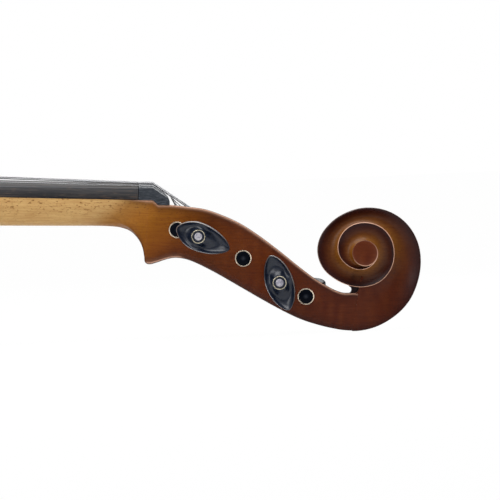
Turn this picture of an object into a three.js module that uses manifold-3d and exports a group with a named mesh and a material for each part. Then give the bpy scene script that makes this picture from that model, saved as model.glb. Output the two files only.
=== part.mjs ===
// Five-string viola at rest on its back: plates, ribs, neck, pegs, strings and fittings as separate pieces.
// Lengths are millimetres. In the body frame x = 0 is the belly's edge under the neck, +x runs towards the
// scroll, +y towards the bass side, and z = 0 is the glue plane between the ribs and the belly.
// In the neck frame x = 0 is the end of the fingerboard at the nut and z = 0 is the fingerboard's glue plane.

import * as THREE from 'three';
import { mergeVertices } from 'three/addons/utils/BufferGeometryUtils.js';
import Module from 'manifold-3d';

const wasm = await Module();
wasm.setup();

// Clearances shared by pieces that touch
const SEAT_GAP = 0.3; // left in a glued or resting joint
const STRING_GAP = 0.2; // between a string and what it lies on
const MORTISE_GAP = 0.42; // beside the sloping sides of the neck's root
const INLAY_GAP = 0.12; // round an inlay
const OVERRUN = 2; // a cutter reaches this far past what it cuts

// Body outline
const BODY_LENGTH = 406;
const UPPER_BOUT = 190;
const WAIST = 130;
const LOWER_BOUT = 236;
const UPPER_CORNERS = 176; // across the tips of the upper corners
const LOWER_CORNERS = 212;
const upperBoutShare = 0.2; // places along the body as shares of its length, from the neck
const upperCornerShares = [0.35, 0.37];
const waistShare = 0.455;
const lowerCornerShares = [0.6, 0.62];
const lowerBoutShare = 0.8;
const upperBoutFullness = 2.25; // exponents of the round ends, 2 is an ellipse
const lowerBoutFullness = 2.3;

// Plates
const PLATE_EDGE = 4.2;
const PLATE_THICKNESS = 3.6;
const BELLY_ARCH = 16;
const BACK_ARCH = 15.5;
const EDGE_ROUND = 1.3;
const CHANNEL_INSET = 5.5; // the lowest line of the hollow inside the edge
const CHANNEL_DEPTH = 0.7;
const GLUE_LAND = 12; // flat rim inside the plate
const BUTTON_RADIUS = 12;

// Ribs, linings and blocks
const RIB_HEIGHT = 38;
const RIB_THICKNESS = 1.3;
const EDGE_OVERHANG = 2.7;
const LINING_HEIGHT = 7;
const LINING_THICKNESS = 2;
const LINING_BITE = 0.2; // how far a lining is let into its rib
const CORNER_BLOCK_REACH = 19; // along each rib from the tip of the corner
const CORNER_BLOCK_RETREAT = 7.2; // from the tip to the block
const CORNER_BLOCK_FOOT = 4; // thickness of the block where it ends on a rib
const NECK_BLOCK = { width: 56, depth: 17 };
const END_BLOCK = { width: 48, depth: 16 };

// Bass bar and sound post
const BASS_BAR = { length: 265, width: 6, height: 11, tipHeight: 3, offset: 20, behindShare: 0.48 };
const SOUND_POST = { diameter: 6.5, offset: 20, behindBridge: 9 };

// Sound holes
const F_HOLE = { length: 80, upperEye: 8, lowerEye: 10.5, stem: 5.8, tip: 2.6 };
const F_HOLE_UPPER_SPREAD = 52; // between the centres of the two upper eyes
const F_HOLE_LOWER_SPREAD = 108;

// Neck and fingerboard
const NECK_LENGTH = 148; // from the zero of the head's outlines, under the nut, to the belly's edge
const NECK_ANGLE = 6; // degrees between the fingerboard's glue plane and the body
const OVERSTAND = 8.5; // from the belly's edge up to the glue plane
const NECK_DEPTH = 13; // of the wood at the nut
const NECK_DEPTH_HEEL = 15.5; // of the wood where the heel begins
const MORTISE = 6; // how far the neck's root reaches into the neck block
const NUT_WIDTH = 26.4;
const BOARD_LENGTH = 297;
const BOARD_END_WIDTH = 46;
const BOARD_ARCH_RADIUS = 40;
const BOARD_HEIGHT = 8.2; // at the nut, on the centre line
const BOARD_END_HEIGHT = 9.6;
const BOARD_HOLLOW = 4.5; // under the free end of the board
const NECK_EDGE_SETBACK = 0.15; // neck wood stands inside the board's edge

// Head: outlines are shares of its length, from the nut to the end of the scroll
const HEAD_LENGTH = 137.8;
const PEGBOX_HALF_WIDTH = 13.2; // at the nut
const PEGBOX_END_HALF_WIDTH = 10; // where the scroll begins
const PEGBOX_FLUTE = 1.1; // depth of the two channels along the back of the head
const EYE_CENTRE = { x: 109, z: -24.3 };
const SCROLL_REACH = 39.4; // from the eye to the lowest point of the scroll
const SCROLL_HALF_WIDTH = 22; // from the middle of the head to the face of an eye
const SCROLL_EYE_RADIUS = 6.4;
const SCROLL_CHAMFER = 0.9;
const SCROLL_LAP = { length: 7.9, inset: 3.3 }; // of the pegbox inside the first turn
const SCROLL_HOLLOW = 1.3; // depth of the hollow between one turn and the next
const CAVITY_HALF_WIDTH = 8.1; // inside the pegbox at the nut
const CAVITY_END_HALF_WIDTH = 5.2;

// Nut: its lead is its foot towards the board, its length the rest, towards the pegs
const NUT = { lead: 4.5, length: 11.4, crown: 2.6, height: 8.3, seat: 2.2, seatStart: 3, seatEnd: 5.6 };

// Pegs
const PEG_COLLAR_RADIUS = 4.1; // of the shaft beside the collar
const PEG_TIP_RADIUS = 3.5; // of the shaft's far end
const PEG_CLEARANCE = 0.35;
const PEG_HOLE_CHAMFER = { radius: 4.4, depth: 0.6 };
const PEG_PROUD = 0.6; // the shaft's end stands out of the cheek
const PEG_COLLAR = { radius: 6.2, length: 2.6, standoff: 4, shaft: 4.5 };
const PEG_END_CHAMFER = 0.3;
const PEG_HEAD = { length: 25, halfSpan: 14.25, halfThick: 7, tip: 1.6 };
const PEG_EYE = { ring: 3.5, ringInner: 2.9, dot: 2, depth: 0.9 };

// Strings: name, diameter, pegs and lanes are listed from the treble side to the bass side
const NUT_STRING_SPREAD = 20;
const BRIDGE_STRING_SPREAD = 46;
const WINDING_SPACE = 0.48; // between neighbouring turns on a peg
const WINDING_CLEARANCE = 0.45; // between a turn and the peg

// Bridge and tail
const BRIDGE_STOP = 222; // from the neck end of the body to the bridge
const BRIDGE = { height: 35, width: 49, topWidth: 50, foot: 4.8, top: 1.8, crownRadius: 44, footLength: 13 };
const TAILPIECE = { length: 122, width: 48, endWidth: 25, thickness: 4.2, archRadius: 44, afterLength: 54 };
const TAILPIECE_STRING_SPREAD = 35.5; // between the outer strings
const TAILPIECE_HOLES = 16; // from its front edge to the string holes
const TAILPIECE_FRONT_HEIGHT = 32; // of its front edge over the glue plane
const TAILPIECE_REAR_HEIGHT = 16.5;
const TAIL_HOLE = 3.4;
const TAIL_SLOT = 1.9;
const TAIL_BEND = 1.2; // of a string out of its hole
const SADDLE = { width: 36, depth: 7.5, rise: 4.6, round: 0.6 };
const TAILGUT = { diameter: 1.9, halfSpacing: 4.5, holeDepth: 9 };
const END_BUTTON = {
  head: 7.2, neck: 4.4, shank: 4.6, shankEnd: 3.9, // radii
  face: 5.04, // radius of the flat end
  headLength: 9, rim: 5.4, neckLength: 5, fillet: 0.5, shoulder: 1, shankLength: 19,
};
const END_BUTTON_DROP = 19; // below the glue plane

// Fine tuner on the first string: a channel that holds a bell-crank lever and the screw that presses it
const TUNER = { width: 6, wall: 1, base: 1.2, front: 9, rear: 11, height: 7, post: 1.7, washer: 3 };
const TUNER_LEVER = {
  pivotX: 6.5, pivotZ: 3.2, pin: 0.9, arm: 1.4, armZ: 4.5,
  hook: 1.7, hookHeight: 11, slot: 1.2, slotFloor: 8.6,
};
const TUNER_SCREW = { x: -8, radius: 1.1, knob: 2.4, knobHeight: 5 };
const TUNER_TRAVEL = 2; // of the screw, downwards

// Colours of the finishes
const finish = {
  spruce: [0xa8672c, 0.35, 0],
  maple: [0x6e3a16, 0.35, 0],
  neckMaple: [0xb98a52, 0.55, 0],
  innerWood: [0xd8c39a, 0.8, 0],
  ebony: [0x23262c, 0.35, 0],
  bridgeMaple: [0xd9b883, 0.6, 0],
  pearl: [0xc9c6cf, 0.25, 0],
  paleMetal: [0xbcb89c, 0.35, 1],
  steel: [0xb9bcc0, 0.3, 1],
  stringWrap: [0xa9adb3, 0.35, 1],
  gut: [0x2a2a2c, 0.6, 0],
};

// Materials are shared by all pieces of one finish
const materials = {};
for (const [name, [color, roughness, metalness]] of Object.entries(finish)) {
  materials[name] = new THREE.MeshStandardMaterial({ color, roughness, metalness });
}

const lerp = THREE.MathUtils.lerp;
const smooth = THREE.MathUtils.smoothstep;
const radians = THREE.MathUtils.degToRad;

// A closed body from points and faces, turned so that its faces point outwards.
function closedBody(points, faces) {
  let volume = 0;
  for (const [a, b, c] of faces) {
    const [p, q, r] = [points[a], points[b], points[c]];
    volume += p.x * (q.y * r.z - q.z * r.y) + p.y * (q.z * r.x - q.x * r.z) + p.z * (q.x * r.y - q.y * r.x);
  }
  const ordered = volume < 0 ? faces.map(([a, b, c]) => [a, c, b]) : faces;
  const geometry = new THREE.BufferGeometry().setFromPoints(points);
  geometry.setIndex(ordered.flat());
  return geometry;
}

// A skin over rings with the same number of points, closed by a fan at each end.
function loft(rings) {
  const count = rings[0].length;
  const points = rings.flat();
  const faces = [];
  for (let k = 0; k + 1 < rings.length; k += 1) {
    for (let i = 0; i < count; i += 1) {
      const a = k * count + i;
      const b = k * count + ((i + 1) % count);
      faces.push([a, b, b + count], [a, b + count, a + count]);
    }
  }
  const caps = [0, rings.length - 1];
  caps.forEach((k, end) => {
    const centre = new THREE.Vector3();
    rings[k].forEach((p) => centre.addScaledVector(p, 1 / count));
    points.push(centre);
    for (let i = 0; i < count; i += 1) {
      const a = k * count + i;
      const b = k * count + ((i + 1) % count);
      faces.push(end ? [a, b, points.length - 1] : [b, a, points.length - 1]);
    }
  });
  return closedBody(points, faces);
}

// Solids for cutting and joining
function solidOf(geometry) {
  const bare = new THREE.BufferGeometry();
  bare.setAttribute('position', geometry.getAttribute('position'));
  if (geometry.index) bare.setIndex(geometry.index);
  const merged = mergeVertices(bare);
  return new wasm.Manifold(new wasm.Mesh({
    numProp: 3,
    vertProperties: merged.attributes.position.array,
    triVerts: new Uint32Array(merged.index.array),
  }));
}

function geometryOf(solid) {
  const { vertProperties, triVerts } = solid.getMesh();
  const geometry = new THREE.BufferGeometry();
  geometry.setAttribute('position', new THREE.BufferAttribute(vertProperties, 3));
  geometry.setIndex(Array.from(triVerts));
  return geometry;
}

function cut(geometry, ...cutters) {
  return geometryOf(cutters.reduce((solid, cutter) => solid.subtract(solidOf(cutter)), solidOf(geometry)));
}

function join(geometry, ...others) {
  return geometryOf(others.reduce((solid, other) => solid.add(solidOf(other)), solidOf(geometry)));
}

function box(xFrom, xTo, yFrom, yTo, zFrom, zTo) {
  const geometry = new THREE.BoxGeometry(xTo - xFrom, yTo - yFrom, zTo - zFrom);
  return geometry.translate((xFrom + xTo) / 2, (yFrom + yTo) / 2, (zFrom + zTo) / 2);
}

// A profile in x and z, extruded across the instrument to a half-width that may change along x.
const sideShares = [-1, 1];
function crosswise(profile, halfWidthAt, steps = 1) {
  const shape = new THREE.Shape(profile.map(([x, z]) => new THREE.Vector2(x, z)));
  const depth = sideShares[1] - sideShares[0];
  const geometry = new THREE.ExtrudeGeometry(shape, { depth, steps, bevelEnabled: false });
  geometry.translate(0, 0, sideShares[0]).rotateX(Math.PI / 2);
  const position = geometry.getAttribute('position');
  for (let i = 0; i < position.count; i += 1) {
    position.setY(i, position.getY(i) * halfWidthAt(position.getX(i)));
  }
  return geometry;
}

// A round body about the y axis from pairs of radius and place, which start and end on the axis.
function turned(profile, sides) {
  return new THREE.LatheGeometry(profile.map(([radius, y]) => new THREE.Vector2(radius, y)), sides);
}

// A cone or cylinder from y = start to y = end about the y axis.
function rod(startRadius, endRadius, start, end, sides) {
  return turned([[0, start], [startRadius, start], [endRadius, end], [0, end]], sides);
}

// A path whose stations are kept as given, so that a cord has short steps only where it bends.
class StationPath extends THREE.Curve {
  constructor(stations) {
    super();
    this.stations = stations;
  }

  getPoint(share, target = new THREE.Vector3()) {
    const place = share * (this.stations.length - 1);
    const from = Math.min(Math.floor(place), this.stations.length - 2);
    return target.lerpVectors(this.stations[from], this.stations[from + 1], place - from);
  }

  getSpacedPoints() {
    return this.stations;
  }

  getTangentAt(share, target = new THREE.Vector3()) {
    const at = Math.round(share * (this.stations.length - 1));
    const here = this.stations[at];
    const before = this.stations[Math.max(at - 1, 0)];
    const after = this.stations[Math.min(at + 1, this.stations.length - 1)];
    target.subVectors(here, before).normalize();
    const ahead = new THREE.Vector3().subVectors(after, here).normalize();
    return target.add(ahead).normalize();
  }
}

function cord(stations, diameter, sides) {
  const section = [];
  for (let i = 0; i < sides; i += 1) {
    const turn = (2 * Math.PI * i) / sides;
    section.push(new THREE.Vector2(Math.cos(turn), Math.sin(turn)).multiplyScalar(diameter / 2));
  }
  return new THREE.ExtrudeGeometry(new THREE.Shape(section), {
    steps: stations.length - 1,
    bevelEnabled: false,
    extrudePath: new StationPath(stations),
  });
}

// The heights at which a vertical line through x, y meets a surface, lowest first.
function levelsAt(geometry, x, y) {
  const position = geometry.getAttribute('position');
  const index = geometry.index.array;
  const levels = [];
  for (let i = 0; i < index.length; i += 3) {
    const [a, b, c] = [index[i], index[i + 1], index[i + 2]];
    const [ax, ay] = [position.getX(a) - x, position.getY(a) - y];
    const [bx, by] = [position.getX(b) - x, position.getY(b) - y];
    const [cx, cy] = [position.getX(c) - x, position.getY(c) - y];
    const [u, v, w] = [bx * cy - by * cx, cx * ay - cy * ax, ax * by - ay * bx];
    const area = u + v + w;
    if (area === 0 || u * area < 0 || v * area < 0 || w * area < 0) continue;
    levels.push((u * position.getZ(a) + v * position.getZ(b) + w * position.getZ(c)) / area);
  }
  return levels.sort((low, high) => low - high);
}

// Half outline of the body in three curves: points hold the distance from the neck end and the half-width.
const along = (share) => share * BODY_LENGTH;
const outlineSteps = { round: 7, bend: 6, waist: 5 };
// Pulls of the curves between the round ends, the corners and the waist: share of the body's length, and
// share of the half-width of the bout, corner or waist that is named
const pullShares = {
  upperBout: [0.285, 1], upperCorner: [0.325, 0.83],
  waistFromUpper: [0.377, 0.8], waistTop: [0.4, 1], waistFoot: [0.52, 1], waistToLower: [0.59, 1.22],
  lowerCorner: [0.645, 0.88], lowerBout: [0.72, 1],
};

function roundEnd(depth, halfWidth, fullness, steps) {
  const points = [];
  for (let i = 0; i <= steps; i += 1) {
    const turn = (Math.PI / 2) * (i / steps);
    const back = depth * (1 - Math.cos(turn) ** (2 / fullness));
    points.push(new THREE.Vector2(back, halfWidth * Math.sin(turn) ** (2 / fullness)));
  }
  return points;
}

function bend(from, fromPull, toPull, to, steps) {
  const curve = new THREE.CubicBezierCurve(from, fromPull, toPull, to);
  return curve.getPoints(steps);
}

function outlineCurves() {
  const at = (share, halfWidth) => new THREE.Vector2(along(share), halfWidth);
  const pull = (name, halfWidth) => at(pullShares[name][0], pullShares[name][1] * halfWidth);
  const upperHalf = UPPER_BOUT / 2;
  const waistHalf = WAIST / 2;
  const lowerHalf = LOWER_BOUT / 2;
  const upperTip = UPPER_CORNERS / 2;
  const lowerTip = LOWER_CORNERS / 2;
  const upper = [
    ...roundEnd(along(upperBoutShare), upperHalf, upperBoutFullness, outlineSteps.round),
    ...bend(at(upperBoutShare, upperHalf), pull('upperBout', upperHalf), pull('upperCorner', upperHalf),
      at(upperCornerShares[0], upperTip), outlineSteps.bend).slice(1),
  ];
  const waist = [
    ...bend(at(upperCornerShares[1], upperTip), pull('waistFromUpper', upperTip), pull('waistTop', waistHalf),
      at(waistShare, waistHalf), outlineSteps.waist),
    ...bend(at(waistShare, waistHalf), pull('waistFoot', waistHalf), pull('waistToLower', waistHalf),
      at(lowerCornerShares[0], lowerTip), outlineSteps.waist).slice(1),
  ];
  const lowerDepth = BODY_LENGTH - along(lowerBoutShare);
  const bottom = roundEnd(lowerDepth, lowerHalf, lowerBoutFullness, outlineSteps.round);
  const lower = [
    ...bend(at(lowerCornerShares[1], lowerTip), pull('lowerCorner', lowerTip), pull('lowerBout', lowerHalf),
      at(lowerBoutShare, lowerHalf), outlineSteps.bend),
    ...bottom.reverse().slice(1).map((p) => new THREE.Vector2(BODY_LENGTH - p.x, p.y)),
  ];
  return { upper, waist, lower };
}

const curves = outlineCurves();
const halfOutline = [...curves.upper, ...curves.waist, ...curves.lower];

// An arched plate: a grid between the outline and the centre line, its outer face arched with a hollow along
// the edge, its inner face flat at the rim and a plate's thickness under the outer face elsewhere.
const spineShares = [0.14, 0.86];
const archLineShares = [0.3, 0.62, 1]; // places between the channel and the centre line
const archDropShare = 0.42; // how much lower the arch is at the ends of the centre line
const archDropPower = 2.4;
const archPower = 1.5; // above 1 the arch rises hollow from the edge before it turns round

function archProfile(arch) {
  return (line, spineShare) => {
    const reach = Math.abs(2 * spineShare - 1) ** archDropPower;
    const crown = lerp(arch, PLATE_EDGE, archDropShare * reach);
    return lerp(PLATE_EDGE - CHANNEL_DEPTH, crown, Math.sin((Math.PI / 2) * line) ** archPower);
  };
}

function plate(arch, toWorld) {
  const heightAt = archProfile(arch);
  const points = [];
  const faces = [];
  for (const side of [1, -1]) {
    const outer = [];
    const inner = [];
    for (const edge of halfOutline) {
      const spineShare = lerp(spineShares[0], spineShares[1], edge.x / BODY_LENGTH);
      const spine = new THREE.Vector2(along(spineShare), 0);
      const reach = spine.distanceTo(edge);
      const place = (inset, height) => {
        const p = edge.clone().lerp(spine, Math.min(inset / reach, 1));
        return toWorld(-p.x, side * p.y, height);
      };
      const lineInset = (line) => lerp(CHANNEL_INSET, reach, line);
      outer.push([
        place(0, PLATE_EDGE - EDGE_ROUND),
        place(EDGE_ROUND, PLATE_EDGE),
        place(CHANNEL_INSET, PLATE_EDGE - CHANNEL_DEPTH),
        ...archLineShares.map((line) => place(lineInset(line), heightAt(line, spineShare))),
      ]);
      inner.push([
        place(0, EDGE_ROUND / 2),
        place(EDGE_ROUND, 0),
        place(GLUE_LAND, 0),
        ...archLineShares.slice(1).map((line) => place(
          lineInset(line), heightAt(line, spineShare) - PLATE_THICKNESS)),
      ]);
    }
    const strips = outer.map((line, i) => [...inner[i].toReversed(), ...line]);
    const count = strips[0].length;
    const start = points.length;
    points.push(...strips.flat());
    for (let j = 0; j + 1 < strips.length; j += 1) {
      for (let i = 0; i + 1 < count; i += 1) {
        const a = start + j * count + i;
        const quad = [[a, a + 1, a + count + 1], [a, a + count + 1, a + count]];
        quad.forEach(([p, q, r]) => faces.push(side > 0 ? [p, q, r] : [p, r, q]));
      }
    }
  }
  return closedBody(points, faces);
}

// Ribs: a thin wall along the outline, with a lining along its upper and its lower edge
function insetLine(line, inset) {
  const mirrored = (p) => new THREE.Vector2(p.x, -p.y);
  return line.map((p, i) => {
    const onCentre = p.y < EDGE_ROUND / 10;
    const before = line[i - 1] ?? (onCentre ? mirrored(line[1]) : p);
    const after = line[i + 1] ?? (onCentre ? mirrored(line[i - 1]) : p);
    const run = new THREE.Vector2().subVectors(after, before).normalize();
    return new THREE.Vector2(p.x + run.y * inset, p.y - run.x * inset);
  });
}

// Stations from one place along a line to another, as the number of a stretch and a share of it.
function stationsAlong(line, fromStart, toEnd) {
  const lengths = line.slice(1).map((p, i) => p.distanceTo(line[i]));
  const whole = lengths.reduce((sum, length) => sum + length, 0);
  const [from, to] = [fromStart, whole - toEnd];
  const stations = [];
  let run = 0;
  lengths.forEach((length, i) => {
    const place = (at) => [i, (at - run) / length];
    const [low, high] = [run, run + length];
    if (from >= low && from < high) stations.push(place(from));
    else if (low > from + EDGE_ROUND && low < to - EDGE_ROUND) stations.push(place(low));
    if (to > low && to <= high) stations.push(place(to));
    run = high;
  });
  return stations;
}

const pointOn = (line, [i, share]) => line[i].clone().lerp(line[i + 1], share);
const lineLength = (line) => line.slice(1).reduce((sum, p, i) => sum + p.distanceTo(line[i]), 0);

function wallAlong(line, side, [fromStart, toEnd], [outerInset, innerInset], [zFrom, zTo]) {
  const outer = insetLine(line, outerInset);
  const inner = insetLine(line, innerInset);
  return loft(stationsAlong(line, fromStart, toEnd).map((station) => {
    const [o, n] = [pointOn(outer, station), pointOn(inner, station)];
    return [
      new THREE.Vector3(-o.x, side * o.y, zFrom),
      new THREE.Vector3(-o.x, side * o.y, zTo),
      new THREE.Vector3(-n.x, side * n.y, zTo),
      new THREE.Vector3(-n.x, side * n.y, zFrom),
    ];
  }));
}

const RIB_TOP = -SEAT_GAP;
const RIB_FOOT = SEAT_GAP - RIB_HEIGHT;
const RIB_INNER = EDGE_OVERHANG + RIB_THICKNESS;

function rib(line, side, ends, liningEnds) {
  const wall = wallAlong(line, side, ends, [EDGE_OVERHANG, RIB_INNER], [RIB_FOOT, RIB_TOP]);
  const insets = [RIB_INNER - LINING_BITE, RIB_INNER - LINING_BITE + LINING_THICKNESS];
  const upper = wallAlong(line, side, liningEnds, insets, [RIB_TOP - LINING_HEIGHT, RIB_TOP]);
  const lower = wallAlong(line, side, liningEnds, insets, [RIB_FOOT, RIB_FOOT + LINING_HEIGHT]);
  return join(wall, upper, lower);
}

// A block that fills a corner between two ribs.
function cornerBlock(before, after, side) {
  const inset = RIB_INNER + SEAT_GAP;
  const reach = CORNER_BLOCK_REACH;
  const tip = CORNER_BLOCK_RETREAT;
  const stretch = (line, from, to) => {
    const inner = insetLine(line, inset);
    return stationsAlong(line, from, to).map((station) => pointOn(inner, station));
  };
  const foot = (line, station) => pointOn(insetLine(line, inset + CORNER_BLOCK_FOOT), station);
  const first = stationsAlong(before, lineLength(before) - reach, tip)[0];
  const last = stationsAlong(after, tip, lineLength(after) - reach).at(-1);
  const profile = [
    foot(before, first), ...stretch(before, lineLength(before) - reach, tip),
    ...stretch(after, tip, lineLength(after) - reach), foot(after, last),
  ];
  const shape = new THREE.Shape(profile.map((p) => new THREE.Vector2(-p.x, side * p.y)));
  const depth = RIB_TOP - RIB_FOOT;
  return new THREE.ExtrudeGeometry(shape, { depth, bevelEnabled: false }).translate(0, 0, RIB_FOOT);
}

// Frames
const neckAngle = radians(NECK_ANGLE);
const GLUE_PLANE_AT_BODY = PLATE_EDGE + OVERSTAND;
const neckOrigin = new THREE.Vector3(
  NECK_LENGTH * Math.cos(neckAngle),
  0,
  GLUE_PLANE_AT_BODY - NECK_LENGTH * Math.sin(neckAngle),
);
const neckToBody = new THREE.Matrix4().makeRotationY(neckAngle).setPosition(neckOrigin);
const bodyToNeck = neckToBody.clone().invert();
const fromNeck = (x, y, z) => new THREE.Vector3(x, y, z).applyMatrix4(neckToBody);
const fromBody = (x, y, z) => new THREE.Vector3(x, y, z).applyMatrix4(bodyToNeck);

// Groups for the body, the neck and the tail
const viola = new THREE.Group();
const body = new THREE.Group();
const neck = new THREE.Group();
neck.rotation.y = neckAngle;
neck.position.copy(neckOrigin);
body.add(neck);
viola.add(body);

function add(group, name, geometry, material) {
  const mesh = new THREE.Mesh(geometry, materials[material]);
  mesh.name = name;
  group.add(mesh);
  return mesh;
}

// Neck and fingerboard widths along the neck, where x is 0 at the nut and negative towards the body
const boardHalfWidth = (x) => lerp(NUT_WIDTH, BOARD_END_WIDTH, -x / BOARD_LENGTH) / 2;
const boardHeight = (x) => lerp(BOARD_HEIGHT, BOARD_END_HEIGHT, -x / BOARD_LENGTH);
const sagitta = (radius, half) => radius - Math.sqrt(radius * radius - half * half);

// Belly and back, with the notches for the neck and the saddle and with the sound holes
const belly = plate(BELLY_ARCH, (x, y, z) => new THREE.Vector3(x, y, z));
const bareBack = plate(BACK_ARCH, (x, y, z) => new THREE.Vector3(x, y, -RIB_HEIGHT - z));
const HEEL_TOP_HALF = boardHalfWidth(-NECK_LENGTH) - NECK_EDGE_SETBACK;

function fHole(side) {
  const upper = F_HOLE_UPPER_SPREAD / 2;
  const lower = F_HOLE_LOWER_SPREAD / 2;
  const half = F_HOLE.length / 2;
  const placeShares = [ // along the hole and across it, from the upper eye to the lower eye
    [0.8, 0], [0.96, 0.1], [0.98, 0.26], [0.84, 0.39], [0.5, 0.46], [0, 0.5], [-0.5, 0.54], [-0.84, 0.61],
    [-0.98, 0.74], [-0.96, 0.9], [-0.8, 1],
  ];
  const centre = placeShares.map(([a, b]) => new THREE.Vector3(
    half * a - BRIDGE_STOP, side * lerp(upper, lower, b), 0));
  const curve = new THREE.CatmullRomCurve3(centre);
  const steps = 12;
  const [left, right] = [[], []];
  for (let i = 0; i <= steps; i += 1) {
    const share = (1 - Math.cos((Math.PI * i) / steps)) / 2;
    const width = lerp(F_HOLE.tip, F_HOLE.stem, Math.sin(Math.PI * share)) / 2;
    const p = curve.getPointAt(share);
    const run = curve.getTangentAt(share);
    left.push(new THREE.Vector2(p.x - run.y * width, p.y + run.x * width));
    right.push(new THREE.Vector2(p.x + run.y * width, p.y - run.x * width));
  }
  const depth = BELLY_ARCH + OVERRUN;
  const outline = new THREE.Shape([...left, ...right.reverse()]);
  const slot = new THREE.ExtrudeGeometry(outline, { depth, bevelEnabled: false });
  const eye = (p, diameter) => rod(diameter / 2, diameter / 2, 0, depth, 10)
    .rotateX(Math.PI / 2).translate(p.x, p.y, 0);
  return [slot, eye(centre[0], F_HOLE.upperEye), eye(centre.at(-1), F_HOLE.lowerEye)];
}

const rootNotch = box(-MORTISE - SEAT_GAP, OVERRUN, -HEEL_TOP_HALF - SEAT_GAP, HEEL_TOP_HALF + SEAT_GAP,
  -OVERRUN, PLATE_EDGE + OVERRUN);
const saddleNotch = box(-BODY_LENGTH - OVERRUN, SADDLE.depth - BODY_LENGTH + SEAT_GAP,
  -SADDLE.width / 2 - SEAT_GAP, SADDLE.width / 2 + SEAT_GAP, -OVERRUN, PLATE_EDGE + OVERRUN);
const bellyGeometry = cut(belly, rootNotch, saddleNotch, ...fHole(1), ...fHole(-1));
add(body, 'top_plate', bellyGeometry, 'spruce');

const button = rod(BUTTON_RADIUS, BUTTON_RADIUS, 0, PLATE_EDGE, 24).rotateX(-Math.PI / 2)
  .translate(0, 0, -RIB_HEIGHT);
const backGeometry = join(bareBack, button);
add(body, 'back_plate', backGeometry, 'maple');

// Six ribs and the blocks that they are glued to. The upper and lower ribs turn round the tips of the corners
// and the waist ribs end behind them.
const ROOT_RIB_END = HEEL_TOP_HALF + SEAT_GAP;
const WAIST_RIB_END = RIB_INNER + SEAT_GAP;
const blockEnd = (width) => width / 2 + OVERRUN;
const LINING_END = CORNER_BLOCK_REACH + OVERRUN;
const upperLine = [...curves.upper, curves.waist[0]];
const lowerLine = [curves.waist.at(-1), ...curves.lower];
const upperTipLength = curves.upper.at(-1).distanceTo(curves.waist[0]);
const lowerTipLength = curves.waist.at(-1).distanceTo(curves.lower[0]);
const ribPlans = [
  ['upper', upperLine, [ROOT_RIB_END, EDGE_OVERHANG],
    [blockEnd(NECK_BLOCK.width), upperTipLength + LINING_END]],
  ['waist', curves.waist, [WAIST_RIB_END, WAIST_RIB_END], [LINING_END, LINING_END]],
  ['lower', lowerLine, [EDGE_OVERHANG, SEAT_GAP],
    [lowerTipLength + LINING_END, blockEnd(END_BLOCK.width)]],
];
const END_BUTTON_Z = -END_BUTTON_DROP;
const SHANK_HOLE = END_BUTTON.shank + SEAT_GAP;
const shankHole = rod(SHANK_HOLE, SHANK_HOLE, -OVERRUN, END_BUTTON.shankLength + OVERRUN, 16)
  .rotateZ(-Math.PI / 2).translate(-BODY_LENGTH, 0, END_BUTTON_Z);
for (const [sideName, side] of [['treble', -1], ['bass', 1]]) {
  for (const [place, line, ends, liningEnds] of ribPlans) {
    const whole = rib(line, side, ends, liningEnds);
    add(body, `${place}_rib_${sideName}`, place === 'lower' ? cut(whole, shankHole) : whole, 'maple');
  }
  add(body, `upper_corner_block_${sideName}`, cornerBlock(curves.upper, curves.waist, side), 'innerWood');
  add(body, `lower_corner_block_${sideName}`, cornerBlock(curves.waist, curves.lower, side), 'innerWood');
}

// Half sections of the neck as shares of its half-width and depth: round neck, heel and square pegbox
const roundSectionShares = [[1, 0], [0.985, -0.3], [0.86, -0.64], [0.62, -0.86], [0.32, -0.965], [0, -1]];
const heelSectionShares = [[1, 0], [0.96, -0.25], [0.86, -0.5], [0.74, -0.75], [0.6, -0.96], [0, -1]];
const squareSectionShares = [[1, 0], [1, -0.5], [1, -0.95], [0.95, -0.985], [0.5, -0.985], [0, -1]];

function neckRing(x, top, low, halfWidth, square, heel, flute, toFrame) {
  const half = roundSectionShares.map(([wide, deep], i) => {
    const [heelWide, heelDeep] = heelSectionShares[i];
    const [squareWide, squareDeep] = squareSectionShares[i];
    const w = lerp(lerp(wide, heelWide, heel), squareWide, square) * halfWidth;
    const z = top + lerp(lerp(deep, heelDeep, heel), squareDeep, square) * (top - low);
    return [w, i === 4 ? z + flute * square : z];
  });
  const right = half.map(([w, z]) => toFrame(x, -w, z));
  const left = half.slice(0, -1).toReversed().map(([w, z]) => toFrame(x, w, z));
  return [...right, ...left];
}

// The neck's root fills a mortise in the neck block: its section, and a cutter that clears it all round
const ROOT_TOP = GLUE_PLANE_AT_BODY + MORTISE * Math.tan(neckAngle);
const rootRing = (x, toFrame) => neckRing(x, ROOT_TOP, RIB_FOOT, HEEL_TOP_HALF, 0, 1, 0, toFrame);

function rootCutter() {
  const grown = (x, y, z) => new THREE.Vector3(
    x, y + Math.sign(y) * MORTISE_GAP, z === RIB_FOOT ? z - OVERRUN : z);
  return loft([-MORTISE - SEAT_GAP, OVERRUN].map((x) => rootRing(x, grown)));
}

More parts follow.
